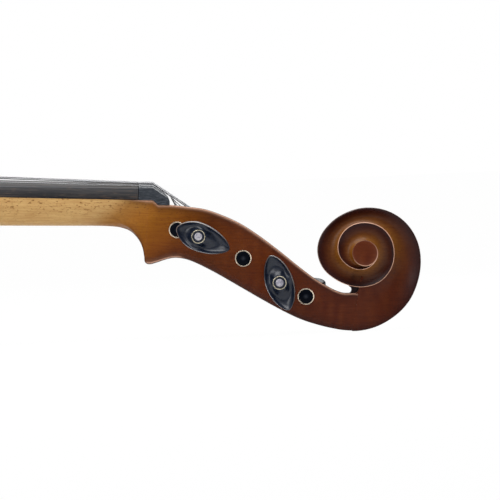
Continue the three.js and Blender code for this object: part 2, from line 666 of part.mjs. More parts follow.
const BLOCK_FACE = RIB_INNER + SEAT_GAP;
const neckBlock = box(-BLOCK_FACE - NECK_BLOCK.depth, -BLOCK_FACE,
  -NECK_BLOCK.width / 2, NECK_BLOCK.width / 2, RIB_FOOT, RIB_TOP);
const outside = [-OVERRUN, BLOCK_FACE];
const throughRibs = [RIB_FOOT - OVERRUN, RIB_TOP + OVERRUN];
const upperWalls = [1, -1].map((side) => wallAlong(curves.upper, side, [0, 0], outside, throughRibs));
add(body, 'neck_block', cut(neckBlock, rootCutter(), ...upperWalls), 'innerWood');
const endBlock = box(BLOCK_FACE - BODY_LENGTH, BLOCK_FACE + END_BLOCK.depth - BODY_LENGTH,
  -END_BLOCK.width / 2, END_BLOCK.width / 2, RIB_FOOT, RIB_TOP);
const lowerWalls = [1, -1].map((side) => wallAlong(curves.lower, side, [0, 0], outside, throughRibs));
add(body, 'end_block', cut(endBlock, shankHole, ...lowerWalls), 'innerWood');

// Bass bar and sound post, fitted to the inner faces
const innerBelly = (x, y) => levelsAt(belly, x, y)[0] - SEAT_GAP;
const innerBack = (x, y) => levelsAt(bareBack, x, y).at(-1) + SEAT_GAP;
const bridgeX = -BRIDGE_STOP;
const barStations = 9;
const barRings = [];
for (let i = 0; i < barStations; i += 1) {
  const share = i / (barStations - 1);
  const x = bridgeX + BASS_BAR.length * (share - BASS_BAR.behindShare);
  const depth = lerp(BASS_BAR.tipHeight, BASS_BAR.height, Math.sin(Math.PI * share));
  const [yFrom, yTo] = [BASS_BAR.offset - BASS_BAR.width / 2, BASS_BAR.offset + BASS_BAR.width / 2];
  const top = Math.min(innerBelly(x, yFrom), innerBelly(x, yTo)) - SEAT_GAP / 2;
  barRings.push([
    new THREE.Vector3(x, yFrom, top - depth),
    new THREE.Vector3(x, yTo, top - depth),
    new THREE.Vector3(x, yTo, top),
    new THREE.Vector3(x, yFrom, top),
  ]);
}
add(body, 'bass_bar', loft(barRings), 'innerWood');

const postX = bridgeX - SOUND_POST.behindBridge;
const postRing = [];
const postSides = 12;
for (let i = 0; i < postSides; i += 1) {
  const turn = (2 * Math.PI * i) / postSides;
  const radius = SOUND_POST.diameter / 2;
  postRing.push([postX + radius * Math.cos(turn), radius * Math.sin(turn) - SOUND_POST.offset]);
}
add(body, 'sound_post', loft([
  postRing.map(([x, y]) => new THREE.Vector3(x, y, innerBack(x, y))),
  postRing.map(([x, y]) => new THREE.Vector3(x, y, innerBelly(x, y))),
]), 'innerWood');

// Head outlines, in shares of the head's length measured from the nut
const squaringShares = [-0.132, -0.005]; // where the round neck turns into the square pegbox
const headPoint = ([x, z]) => [x * HEAD_LENGTH, z * HEAD_LENGTH];
const cheekTopShares = [
  [0.083, -0.0165], [0.138, -0.021], [0.21, -0.03], [0.27, -0.049], [0.339, -0.079], [0.41, -0.123],
  [0.486, -0.178], [0.553, -0.23], [0.615, -0.275], [0.655, -0.298], [0.689, -0.315], [0.725, -0.324],
  [0.76, -0.322],
];
const headBackShares = [
  [-0.131, -0.098], [-0.095, -0.1015], [-0.06, -0.114], [-0.033, -0.139], [-0.0145, -0.1705],
  [-0.006, -0.207], [-0.003, -0.2275], [0.011, -0.2335], [0.037, -0.227], [0.081, -0.212], [0.113, -0.208],
  [0.157, -0.216], [0.234, -0.25], [0.343, -0.309], [0.41, -0.346], [0.49, -0.388], [0.56, -0.42],
  [0.636, -0.443], [0.709, -0.457], [0.757, -0.46],
];
const levelAlong = (shares) => {
  const points = shares.map(headPoint);
  return (x) => {
    const next = points.findIndex(([px]) => px >= x);
    if (next < 0) return points.at(-1)[1];
    if (next === 0) return points[0][1];
    const [[ax, az], [bx, bz]] = [points[next - 1], points[next]];
    return lerp(az, bz, (x - ax) / (bx - ax));
  };
};
const cheekTop = levelAlong(cheekTopShares);
const headBack = levelAlong(headBackShares);
const SCROLL_START = headPoint([0.755, 0])[0];
const pegboxHalfWidth = (x) => lerp(PEGBOX_HALF_WIDTH, PEGBOX_END_HALF_WIDTH, Math.max(x, 0) / SCROLL_START);

function neckRings() {
  const rings = [];
  const inNeck = (x, y, z) => new THREE.Vector3(x, y, z);
  const glue = (x) => GLUE_PLANE_AT_BODY - x * Math.tan(neckAngle);
  const heelDepth = NECK_DEPTH_HEEL / Math.cos(neckAngle);
  // Heel: distance from the body, depth share between the neck's depth and the button, and roundness
  const heelPlaceShares = [
    [0, 1, 1], [0.9, 1, 0.95], [1.12, 0.8, 0.8], [1.45, 0.5, 0.6], [2, 0.22, 0.35], [2.8, 0.06, 0.15],
    [3.7, 0, 0],
  ];
  rings.push(rootRing(-MORTISE, fromBody));
  for (const [place, deepShare, heel] of heelPlaceShares) {
    const x = place * BUTTON_RADIUS;
    const top = glue(x);
    const low = lerp(top - heelDepth, RIB_FOOT, deepShare);
    const wide = boardHalfWidth(x - NECK_LENGTH) - NECK_EDGE_SETBACK;
    rings.push(neckRing(x, top, low, wide, 0, heel, 0, fromBody));
  }
  const shaftShares = [0.6, 0.35, 0.16];
  for (const share of shaftShares) {
    const x = -share * NECK_LENGTH;
    const low = -lerp(NECK_DEPTH, NECK_DEPTH_HEEL, share);
    rings.push(neckRing(x, 0, low, boardHalfWidth(x) - NECK_EDGE_SETBACK, 0, 0, 0, inNeck));
  }
  for (const [xShare] of headBackShares) {
    const x = xShare * HEAD_LENGTH;
    const square = smooth(xShare, ...squaringShares);
    const wide = x < 0 ? boardHalfWidth(x) - NECK_EDGE_SETBACK : pegboxHalfWidth(x);
    const top = x < NUT.seatEnd ? 0 : cheekTop(x);
    rings.push(neckRing(x, top, headBack(x), wide, square, 0, PEGBOX_FLUTE, inNeck));
  }
  const last = SCROLL_START + SCROLL_LAP.length;
  const lapHalf = PEGBOX_END_HALF_WIDTH - SCROLL_CHAMFER;
  const [lapTop, lapLow] = [cheekTop(last) - SCROLL_LAP.inset / 2, headBack(last) + SCROLL_LAP.inset];
  rings.push(neckRing(last, lapTop, lapLow, lapHalf, 1, 0, 0, inNeck));
  return rings;
}

// Scroll: radius from the eye and half-width of its edge, against the angle that the spiral has turned
const scrollRadiusShares = [
  [-112, 1.03], [-98, 1], [-84, 0.957], [-67, 0.896], [-49, 0.845], [-28, 0.774], [-9, 0.731], [15, 0.69],
  [36, 0.65], [60, 0.612], [84, 0.579], [113, 0.56], [138, 0.569], [162, 0.579], [180, 0.578], [200, 0.546],
  [223, 0.488], [247, 0.453], [274, 0.426], [299, 0.409], [325, 0.391], [359, 0.374], [390, 0.381],
  [418, 0.389], [448, 0.39], [474, 0.393], [499, 0.385], [522, 0.363], [546, 0.328], [570, 0.28],
  [604, 0.228], [636, 0.195], [665, 0.172], [700, 0.163], [780, 0.1625],
];
const scrollWidthShares = [
  [-112, 0.455], [-98, 0.455], [-30, 0.4], [30, 0.36], [90, 0.35], [150, 0.38], [200, 0.42], [247, 0.47],
  [300, 0.54], [360, 0.63], [420, 0.71], [480, 0.79], [540, 0.86], [600, 0.92], [660, 0.965], [720, 0.99],
  [1140, 1],
];
// Section of a turn: places between the eye and the edge, and between the middle plane and the edge
const turnSectionShares = { core: 0.8, within: 0.8, foot: 0.12, footIn: 0.9, middle: 0.52, flute: 0.5 };

function smoothTable(table) {
  return (at) => {
    const next = THREE.MathUtils.clamp(table.findIndex(([place]) => place > at), 1, table.length - 1);
    const slope = (i) => {
      const [low, high] = [Math.max(i - 1, 0), Math.min(i + 1, table.length - 1)];
      return (table[high][1] - table[low][1]) / (table[high][0] - table[low][0]);
    };
    const [[a, from], [b, to]] = [table[next - 1], table[next]];
    const span = b - a;
    const t = THREE.MathUtils.clamp((at - a) / span, 0, 1);
    const rise = (to - from) / span;
    const [first, last] = [slope(next - 1) * span, slope(next) * span];
    const bow = 3 * rise * span - 2 * first - last;
    const twist = first + last - 2 * rise * span;
    return from + t * (first + t * (bow + t * twist));
  };
}

const scrollRadiusShare = smoothTable(scrollRadiusShares);
const scrollWidthShare = smoothTable(scrollWidthShares);
const scrollRadius = (angle) => scrollRadiusShare(angle) * SCROLL_REACH;
const scrollWidth = (angle) => scrollWidthShare(angle) * SCROLL_HALF_WIDTH;
const scrollSteps = 18;
const hollowStart = [-95, -20]; // angles between which the hollow deepens

// One turn of the scroll between two angles, from the eye's axis out to the spiral edge.
function scrollTurn(fromAngle, toAngle) {
  const rings = [];
  const count = Math.ceil((toAngle - fromAngle) / scrollSteps);
  const shares = turnSectionShares;
  const core = scrollWidth(fromAngle) * shares.core;
  const outerTurn = fromAngle < 250;
  for (let i = 0; i <= count; i += 1) {
    const angle = lerp(fromAngle, toAngle, i / count);
    const radius = scrollRadius(angle);
    const wide = scrollWidth(angle);
    const nextRadius = Math.min(scrollRadius(angle + 360), radius * shares.within);
    const innerRadius = Math.max(nextRadius, SCROLL_EYE_RADIUS * shares.within);
    const foot = lerp(wide, scrollWidth(angle + 360), shares.foot);
    const hollow = SCROLL_HOLLOW * smooth(angle, ...hollowStart);
    const flute = outerTurn ? PEGBOX_FLUTE : 0;
    const half = [
      [0, core],
      [innerRadius * shares.footIn, foot],
      [lerp(innerRadius, radius, shares.middle), (foot + wide) / 2 - hollow],
      [radius - SCROLL_CHAMFER, wide],
      [radius, wide - SCROLL_CHAMFER],
      [radius - flute, wide * shares.flute],
    ];
    const turn = radians(angle);
    const place = ([r, y]) => new THREE.Vector3(
      EYE_CENTRE.x + r * Math.cos(turn), y, EYE_CENTRE.z + r * Math.sin(turn));
    const otherHalf = half.toReversed().map(([r, y]) => place([r, -y]));
    rings.push([...half.map(place), place([radius, 0]), ...otherHalf]);
  }
  return loft(rings);
}

const eyeBoss = rod(SCROLL_EYE_RADIUS, SCROLL_EYE_RADIUS, -SCROLL_HALF_WIDTH, SCROLL_HALF_WIDTH, 18)
  .translate(EYE_CENTRE.x, 0, EYE_CENTRE.z);
const turnAngles = [[-98, 255], [240, 270], [256, 606], [592, 622], [607, 760]];
const scrollTurns = turnAngles.map(([from, to]) => scrollTurn(from, to));

// Pegbox hollow, open towards the strings
const cavityShares = [
  [0.087, 0.03], [0.087, -0.03], [0.055, -0.06], [0.055, -0.155], [0.157, -0.169], [0.234, -0.203],
  [0.343, -0.262], [0.49, -0.346], [0.58, -0.386], [0.64, -0.398], [0.685, -0.385], [0.705, -0.345],
  [0.71, -0.26],
];
const cavityHalfWidth = (x) => lerp(CAVITY_HALF_WIDTH, CAVITY_END_HALF_WIDTH, x / SCROLL_START);
const cavity = crosswise(cavityShares.map(headPoint), cavityHalfWidth);

// Peg stations: place of the axis, side of the head (-1 treble, 1 bass) and the head's angle at rest
const pegStations = {
  c: { x: 15.3, z: -14.5, side: 1, angle: 23 },
  e: { x: 26.2, z: -17.3, side: -1, angle: 23 },
  g: { x: 48.5, z: -28.1, side: 1, angle: 28 },
  a: { x: 66.7, z: -39.3, side: -1, angle: 70 },
  d: { x: 80.1, z: -46.5, side: 1, angle: -34 },
};

function pegHoleCutters({ x, z, side }) {
  const half = pegboxHalfWidth(x);
  const reach = half + OVERRUN;
  const radiusAt = (y) => lerp(PEG_TIP_RADIUS, PEG_COLLAR_RADIUS, (y + half) / (2 * half)) + PEG_CLEARANCE;
  const bore = rod(radiusAt(-reach), radiusAt(reach), -reach, reach, 16);
  const rim = PEG_HOLE_CHAMFER;
  const chamfer = rod(rim.radius + OVERRUN - rim.depth, PEG_TIP_RADIUS + PEG_CLEARANCE / 2, -half - OVERRUN,
    rim.depth - half, 16);
  return [bore, chamfer].map((cutter) => cutter.rotateZ(side < 0 ? Math.PI : 0).translate(x, 0, z));
}

const nutSeat = crosswise([
  [NUT.seatStart, OVERRUN], [NUT.seatStart, 0], [NUT.seatEnd, -NUT.seat], [NUT.length + OVERRUN, -NUT.seat],
  [NUT.length + OVERRUN, OVERRUN],
], () => PEGBOX_HALF_WIDTH + OVERRUN);
const headCutters = [nutSeat, cavity, ...Object.values(pegStations).flatMap(pegHoleCutters)];
const neckSolid = join(loft(neckRings()), ...scrollTurns, eyeBoss);
add(neck, 'neck_scroll', cut(neckSolid, ...headCutters), 'neckMaple');

// Fingerboard with its arched top, hollow under the free end
function fingerboard() {
  const placeShares = [0, 0.25, 0.5, 0.53, 0.75, 1];
  const acrossShares = [-1, -0.72, -0.4, 0, 0.4, 0.72, 1];
  const underShares = [[0.86, 0], [0.5, 0.75], [0, 1], [-0.5, 0.75], [-0.86, 0]]; // across, and of the hollow
  return loft(placeShares.map((share) => {
    const x = -lerp(NUT.lead, BOARD_LENGTH, share);
    const half = boardHalfWidth(x);
    const top = boardHeight(x);
    const hollow = share > 0.51 ? BOARD_HOLLOW : 0;
    const upper = acrossShares.map((a) => new THREE.Vector3(
      x, a * half, top - sagitta(BOARD_ARCH_RADIUS, a * half)));
    const lower = underShares.map(([a, deep]) => new THREE.Vector3(x, a * half, SEAT_GAP + hollow * deep));
    const edge = (a) => new THREE.Vector3(x, a * half, SEAT_GAP);
    return [...upper, edge(1), ...lower, edge(-1)];
  }));
}
add(neck, 'fingerboard', fingerboard(), 'ebony');

// Nut: rounded over towards the pegbox and arched across like the board
const nutCurveShares = [[0.965, -0.05], [0.87, 0.27], [0.62, 0.56], [0.38, 0.84]];
function nutGeometry() {
  const profile = [
    [SEAT_GAP - NUT.lead, SEAT_GAP], [NUT.seatStart, SEAT_GAP],
    [NUT.seatEnd + SEAT_GAP / 2, SEAT_GAP - NUT.seat], [NUT.length - SEAT_GAP, SEAT_GAP - NUT.seat],
    ...nutCurveShares.map(([along, up]) => [NUT.length * along, NUT.height * up]),
    [NUT.crown, NUT.height], [SEAT_GAP - NUT.lead, NUT.height],
  ];
  const geometry = crosswise(profile, () => NUT_WIDTH / 2, 6);
  const position = geometry.getAttribute('position');
  for (let i = 0; i < position.count; i += 1) {
    const z = position.getZ(i);
    const drop = sagitta(BOARD_ARCH_RADIUS, Math.abs(position.getY(i)));
    if (z > SEAT_GAP) position.setZ(i, z - drop * (z / NUT.height));
  }
  return geometry;
}
add(neck, 'nut', nutGeometry(), 'ebony');

// Pegs: turned shaft and collar, with a head of lens section that is hollowed on its broad faces
function lensRing(y, halfSpan, halfThick) {
  const points = [];
  const spanShares = [1, 0.75, 0.42, 0, -0.42, -0.75, -1];
  for (const face of [1, -1]) {
    for (const share of spanShares) {
      const thick = lerp(PEG_HEAD.tip, halfThick, 1 - share * share);
      points.push(new THREE.Vector3(face * share * halfSpan, y, face * thick));
    }
  }
  return points;
}

function pegGeometry(half) {
  const tipEnd = -half - PEG_PROUD;
  const collar = half + PEG_COLLAR.standoff;
  const headStart = collar + PEG_COLLAR.length;
  const shaft = turned([
    [0, tipEnd], [PEG_TIP_RADIUS - PEG_END_CHAMFER, tipEnd], [PEG_TIP_RADIUS, tipEnd + PEG_END_CHAMFER],
    [PEG_COLLAR_RADIUS, half], [PEG_COLLAR.shaft, collar], [PEG_COLLAR.radius, collar],
    [PEG_COLLAR.radius, headStart], [0, headStart],
  ], 12);
  // Along the head: share of its length, of its half-span and of its half-thickness
  const headShares = [
    [-0.06, 0.3, 0.55], [0.1, 0.36, 0.62], [0.35, 0.66, 0.5], [0.62, 0.93, 0.62], [0.84, 1, 1],
    [1, 0.86, 0.72],
  ];
  const head = loft(headShares.map(([place, span, thick]) => lensRing(
    headStart + place * PEG_HEAD.length, span * PEG_HEAD.halfSpan, thick * PEG_HEAD.halfThick)));
  const face = headStart + PEG_HEAD.length;
  const eyeFloor = face - PEG_EYE.depth;
  const groove = turned([
    [PEG_EYE.ringInner - INLAY_GAP, eyeFloor], [PEG_EYE.ring + INLAY_GAP, eyeFloor],
    [PEG_EYE.ring + INLAY_GAP, face + OVERRUN], [PEG_EYE.ringInner - INLAY_GAP, face + OVERRUN],
    [PEG_EYE.ringInner - INLAY_GAP, eyeFloor],
  ], 12);
  const dotHole = rod(PEG_EYE.dot + INLAY_GAP, PEG_EYE.dot + INLAY_GAP, eyeFloor, face + OVERRUN, 12);
  return cut(join(shaft, head), groove, dotHole);
}

for (const [letter, station] of Object.entries(pegStations)) {
  const half = pegboxHalfWidth(station.x);
  const peg = new THREE.Group();
  peg.position.set(station.x, 0, station.z);
  peg.rotation.set(0, radians(station.angle), station.side < 0 ? Math.PI : 0);
  neck.add(peg);
  add(peg, `peg_${letter}`, pegGeometry(half), 'ebony');
  const face = half + PEG_COLLAR.standoff + PEG_COLLAR.length + PEG_HEAD.length;
  const floor = face - PEG_EYE.depth + INLAY_GAP;
  const ring = turned([
    [PEG_EYE.ringInner, floor], [PEG_EYE.ring, floor], [PEG_EYE.ring, face], [PEG_EYE.ringInner, face],
    [PEG_EYE.ringInner, floor],
  ], 12);
  add(peg, `peg_${letter}_eye_ring`, ring, 'paleMetal');
  add(peg, `peg_${letter}_eye_dot`, rod(PEG_EYE.dot, PEG_EYE.dot, floor, face, 12), 'pearl');
}

// Bridge: cut from a plate that thins towards the top, with feet fitted to the belly
function bridgeGeometry() {
  const { height, width, topWidth, crownRadius, footLength } = BRIDGE;
  const baseZ = levelsAt(bellyGeometry, bridgeX, 0).at(-1) + SEAT_GAP;
  const top = baseZ + height;
  const footZ = (y) => {
    const depth = BRIDGE.foot / 2;
    const levels = [-depth, depth].map((dx) => levelsAt(bellyGeometry, bridgeX + dx, y).at(-1));
    return Math.max(...levels) + SEAT_GAP;
  };
  const crown = (share) => [share * topWidth / 2, top - sagitta(crownRadius, share * topWidth / 2)];
  // Right half of the outline as shares of the half-width and of the height above the arch
  const legShares = [
    [0.86, 0.1], [0.8, 0.2], [0.93, 0.31], [0.98, 0.43], [0.84, 0.47], [0.76, 0.56], [0.86, 0.66],
    [0.97, 0.7],
  ];
  const innerShares = [[0.42, 0.12], [0.3, 0.2], [0, 0.235]];
  const half = width / 2;
  const right = [
    [half - footLength, footZ(half - footLength)], [half - footLength / 2, footZ(half - footLength / 2)],
    [half, footZ(half)], [half, footZ(half) + BRIDGE.top],
    ...legShares.map(([y, z]) => [y * half, baseZ + z * height]),
    crown(1), crown(0.8), crown(0.6), crown(0.4), crown(0.2),
  ];
  const left = right.map(([y, z]) => [-y, z]).reverse();
  const inside = innerShares.map(([y, z]) => [y * half, baseZ + z * height]);
  const mirrored = inside.map(([y, z]) => [-y, z]);
  const outline = [...right, crown(0), ...left, ...mirrored, ...inside.slice(0, -1).reverse()];
  const shape = new THREE.Shape(outline.map(([y, z]) => new THREE.Vector2(y, z)));
  const heartShares = [
    [0, 0.42], [0.13, 0.5], [0.2, 0.6], [0.12, 0.67], [0, 0.61], [-0.12, 0.67], [-0.2, 0.6], [-0.13, 0.5],
  ];
  const heart = heartShares.map(([y, z]) => new THREE.Vector2(y * half, baseZ + z * height));
  shape.holes.push(new THREE.Path(heart));
  const depth = sideShares[1] - sideShares[0];
  const geometry = new THREE.ExtrudeGeometry(shape, { depth, bevelEnabled: false });
  geometry.translate(0, 0, sideShares[0]);
  const position = geometry.getAttribute('position');
  for (let i = 0; i < position.count; i += 1) {
    const [y, z, side] = [position.getX(i), position.getY(i), position.getZ(i)];
    const thick = lerp(BRIDGE.foot, BRIDGE.top, THREE.MathUtils.clamp((z - baseZ) / height, 0, 1));
    position.setXYZ(i, bridgeX + (side * thick) / 2, y, z);
  }
  return { geometry, crownHeight: (y) => top - sagitta(crownRadius, Math.abs(y)) };
}
const bridge = bridgeGeometry();
add(body, 'bridge', bridge.geometry, 'bridgeMaple');

// Saddle at the end of the belly, rounded over for the tailgut
const saddleHalf = SADDLE.width / 2;
const saddleTop = PLATE_EDGE + SADDLE.rise;
const saddleCrestShares = [0.7, 0.25]; // of the saddle's depth
const saddleProfile = [
  [SADDLE.depth - BODY_LENGTH, 0], [SADDLE.depth - BODY_LENGTH, PLATE_EDGE],
  ...saddleCrestShares.map((share) => [SADDLE.depth * share - BODY_LENGTH, saddleTop]),
  [SEAT_GAP - BODY_LENGTH, saddleTop - SADDLE.round], [SEAT_GAP - BODY_LENGTH, 0],
];
add(body, 'saddle', crosswise(saddleProfile, () => saddleHalf), 'ebony');

// End button through the lower ribs into the end block
function endButtonGeometry() {
  const { head, neck: waist, shank, shankEnd, face, headLength, neckLength, shankLength } = END_BUTTON;
  return turned([
    [0, -shankLength], [shankEnd, -shankLength], [shank, 0], [waist, END_BUTTON.fillet], [waist, neckLength],
    [head, neckLength + END_BUTTON.shoulder], [head, neckLength + END_BUTTON.rim],
    [face, neckLength + headLength], [0, neckLength + headLength],
  ], 16).rotateZ(Math.PI / 2).translate(-BODY_LENGTH, 0, END_BUTTON_Z);
}
add(body, 'end_button', endButtonGeometry(), 'ebony');

// Tailpiece: an arched, tapering plate with five string holes, in its own tilted frame
const tail = new THREE.Group();
const tailFrontX = bridgeX - TAILPIECE.afterLength;
const tailTilt = Math.asin((TAILPIECE_FRONT_HEIGHT - TAILPIECE_REAR_HEIGHT) / TAILPIECE.length);
tail.position.set(tailFrontX, 0, TAILPIECE_FRONT_HEIGHT);
tail.rotation.y = -tailTilt;
body.add(tail);
const fromTail = (x, y, z) => new THREE.Vector3(x, y, z).applyEuler(tail.rotation).add(tail.position);
const tailTop = (y) => -sagitta(TAILPIECE.archRadius, Math.abs(y));
const stringShares = [-1, -0.5, 0, 0.5, 1];
const tailStringY = (share) => (share * TAILPIECE_STRING_SPREAD) / 2;
const tailHalfWidth = (share) => lerp(TAILPIECE.width, TAILPIECE.endWidth, share) / 2;
const TAIL_HOLE_X = -TAILPIECE_HOLES;

// The tuner's frame stands square to the tailpiece's arch at the first string.
const tuner = new THREE.Group();
const tunerY = tailStringY(-1);
tuner.position.set(TAIL_HOLE_X, tunerY, tailTop(tunerY));
tuner.rotation.x = Math.asin(-tunerY / TAILPIECE.archRadius);
tail.add(tuner);
const upright = (radius, low, high, sides) => rod(radius, radius, low, high, sides).rotateX(Math.PI / 2);

function tailpieceGeometry() {
  const placeShares = [0, 0.12, 0.45, 1];
  const acrossShares = [-1, -0.74, -0.37, 0, 0.37, 0.74, 1];
  const underShare = 0.94;
  const rings = placeShares.map((share) => {
    const x = -share * TAILPIECE.length;
    const half = tailHalfWidth(share);
    const upper = acrossShares.map((a) => new THREE.Vector3(x, a * half, tailTop(a * half)));
    const lower = acrossShares.toReversed().map((a) => new THREE.Vector3(
      x, a * half * underShare, tailTop(a * half) - TAILPIECE.thickness));
    return [...upper, ...lower];
  });
  const deep = TAILPIECE.width;
  const slots = stringShares.slice(1).flatMap((share) => {
    const y = tailStringY(share);
    return [
      upright(TAIL_HOLE / 2, -deep, deep, 10).translate(TAIL_HOLE_X, y, 0),
      box(TAIL_HOLE_X, TAIL_HOLE_X + TAIL_HOLE * 2, y - TAIL_SLOT / 2, y + TAIL_SLOT / 2, -deep, deep),
    ];
  });
  const gutHole = TAILGUT.diameter / 2 + SEAT_GAP;
  const [gutStart, gutEnd] = [-TAILPIECE.length - OVERRUN, TAILGUT.holeDepth - TAILPIECE.length];
  const gutHoles = sideShares.map((side) => rod(gutHole, gutHole, gutStart, gutEnd, 8).rotateZ(-Math.PI / 2)
    .translate(0, side * TAILGUT.halfSpacing, GUT_Z));
  const postHole = upright(TUNER.post + SEAT_GAP, -TAILPIECE.thickness * 2, OVERRUN, 10);
  tuner.updateMatrix();
  return cut(loft(rings), ...slots, ...gutHoles, postHole.applyMatrix4(tuner.matrix));
}
const GUT_Z = tailTop(TAILGUT.halfSpacing) - TAILPIECE.thickness / 2;
add(tail, 'tailpiece', tailpieceGeometry(), 'ebony');

// Tailgut: out of the tailpiece, over the saddle, round the neck of the end button and back
function tailgutStations() {
  const radius = TAILGUT.diameter / 2;
  const crest = PLATE_EDGE + SADDLE.rise + radius + SEAT_GAP;
  const drop = -BODY_LENGTH - END_BUTTON.neckLength / 2;
  const loop = END_BUTTON.neck + radius + SEAT_GAP;
  const half = (side) => [
    fromTail(TAILGUT.holeDepth - TAILPIECE.length - radius, side * TAILGUT.halfSpacing, GUT_Z),
    fromTail(-TAILPIECE.length - radius, side * TAILGUT.halfSpacing, GUT_Z),
    new THREE.Vector3(SADDLE.depth * 0.6 - BODY_LENGTH, side * TAILGUT.halfSpacing, crest),
    new THREE.Vector3(SADDLE.depth * 0.15 - BODY_LENGTH, side * TAILGUT.halfSpacing, crest),
    new THREE.Vector3(drop + radius, side * loop, crest - TAILGUT.diameter),
    new THREE.Vector3(drop, side * loop, crest - TAILGUT.diameter * 3),
  ];
  const round = [];
  const steps = 8;
  for (let i = 0; i <= steps; i += 1) {
    const turn = (Math.PI * i) / steps;
    round.push(new THREE.Vector3(drop, -loop * Math.cos(turn), END_BUTTON_Z - loop * Math.sin(turn)));
  }
  return [...half(-1), ...round, ...half(1).reverse()];
}
add(body, 'tailgut', cord(tailgutStations(), TAILGUT.diameter, 6), 'gut');

// Fine tuner
const tunerHalf = TUNER.width / 2;
const tunerTop = SEAT_GAP + TUNER.height;
const tunerFloor = SEAT_GAP + TUNER.base;
const alongY = (radius, half, sides) => rod(radius, radius, -half, half, sides);

function tunerBodyGeometry() {
  const base = box(-TUNER.rear, TUNER.front, -tunerHalf, tunerHalf, SEAT_GAP, tunerFloor);
  const walls = [-tunerHalf, tunerHalf - TUNER.wall].map((y) => box(
    -TUNER.rear, TUNER.front, y, y + TUNER.wall, SEAT_GAP, tunerTop));
  const topEnd = TUNER_SCREW.x + TUNER_SCREW.knob + TUNER.wall;
  const top = box(-TUNER.rear, topEnd, -tunerHalf, tunerHalf, tunerTop - TUNER.base, tunerTop);
  const under = -TAILPIECE.thickness - SEAT_GAP * 3;
  const post = upright(TUNER.post, under - TUNER.base, tunerFloor, 10);
  const washer = upright(TUNER.washer, under - TUNER.base, under, 10);
  const bore = upright(TUNER_SCREW.radius + SEAT_GAP, tunerFloor, tunerTop + OVERRUN, 10)
    .translate(TUNER_SCREW.x, 0, 0);
  const pinHole = alongY(TUNER_LEVER.pin + SEAT_GAP, TUNER.width, 10)
    .translate(TUNER_LEVER.pivotX, 0, TUNER_LEVER.pivotZ);
  return cut(join(base, ...walls, top, post, washer), bore, pinHole);
}

function tunerLeverGeometry() {
  const lever = TUNER_LEVER;
  const half = tunerHalf - TUNER.wall - SEAT_GAP;
  const hookEnd = lever.pivotX + lever.hook;
  const arm = box(TUNER_SCREW.x - TUNER_SCREW.radius, hookEnd, -half, half,
    lever.armZ - lever.arm / 2, lever.armZ + lever.arm / 2);
  const hook = box(lever.pivotX - lever.hook / 2, hookEnd, -half, half, lever.pivotZ, lever.hookHeight);
  const pin = alongY(lever.pin, tunerHalf, 10).translate(lever.pivotX, 0, lever.pivotZ);
  const slot = box(lever.pivotX - OVERRUN, hookEnd + OVERRUN, -lever.slot / 2, lever.slot / 2,
    lever.slotFloor, lever.hookHeight + OVERRUN);
  return cut(join(arm, hook, pin), slot);
}

function tunerScrewGeometry() {
  const tip = TUNER_LEVER.armZ + TUNER_LEVER.arm / 2 + SEAT_GAP;
  const knobFoot = tunerTop + TUNER_TRAVEL + SEAT_GAP;
  const knobTop = knobFoot + TUNER_SCREW.knobHeight;
  return turned([
    [0, tip], [TUNER_SCREW.radius, tip], [TUNER_SCREW.radius, knobFoot], [TUNER_SCREW.knob, knobFoot],
    [TUNER_SCREW.knob, knobTop], [0, knobTop],
  ], 10).rotateX(Math.PI / 2).translate(TUNER_SCREW.x, 0, 0);
}
add(tuner, 'fine_tuner_body', tunerBodyGeometry(), 'steel');
add(tuner, 'fine_tuner_lever', tunerLeverGeometry(), 'steel');
add(tuner, 'fine_tuner_screw', tunerScrewGeometry(), 'steel');
tail.updateMatrix();
const tunerToBody = tail.matrix.clone().multiply(tuner.matrix);
const fromTuner = (x, y, z) => new THREE.Vector3(x, y, z).applyMatrix4(tunerToBody);

// Strings: from the tailpiece over the bridge and the nut to their windings on the pegs
const strings = [
  { letter: 'e', diameter: 0.4, peg: 'e', lane: -2.2, way: -1, turns: 4 },
  { letter: 'a', diameter: 0.75, peg: 'a', lane: -1.6, way: -1, turns: 3 },
  { letter: 'd', diameter: 0.85, peg: 'd', lane: -1, way: 1, turns: 3 },
  { letter: 'g', diameter: 0.95, peg: 'g', lane: 1.4, way: 1, turns: 3 },
  { letter: 'c', diameter: 1.2, peg: 'c', lane: 1.2, way: 1, turns: 3 },
];
const windingSteps = 12;
const nutShoulder = { alongShare: 0.93, upShare: 0.27, laneShare: 0.25 }; // where a steep string leaves it

// Where a straight run from a point first touches a peg's winding, passing over the peg towards the scroll.
function touchPoint(from, peg, radius) {
  const [dx, dz] = [from.x - peg.x, from.z - peg.z];
  const reach = Math.hypot(dx, dz);
  const angle = Math.atan2(dz, dx) - Math.acos(radius / reach);
  return { angle, x: peg.x + radius * Math.cos(angle), z: peg.z + radius * Math.sin(angle) };
}

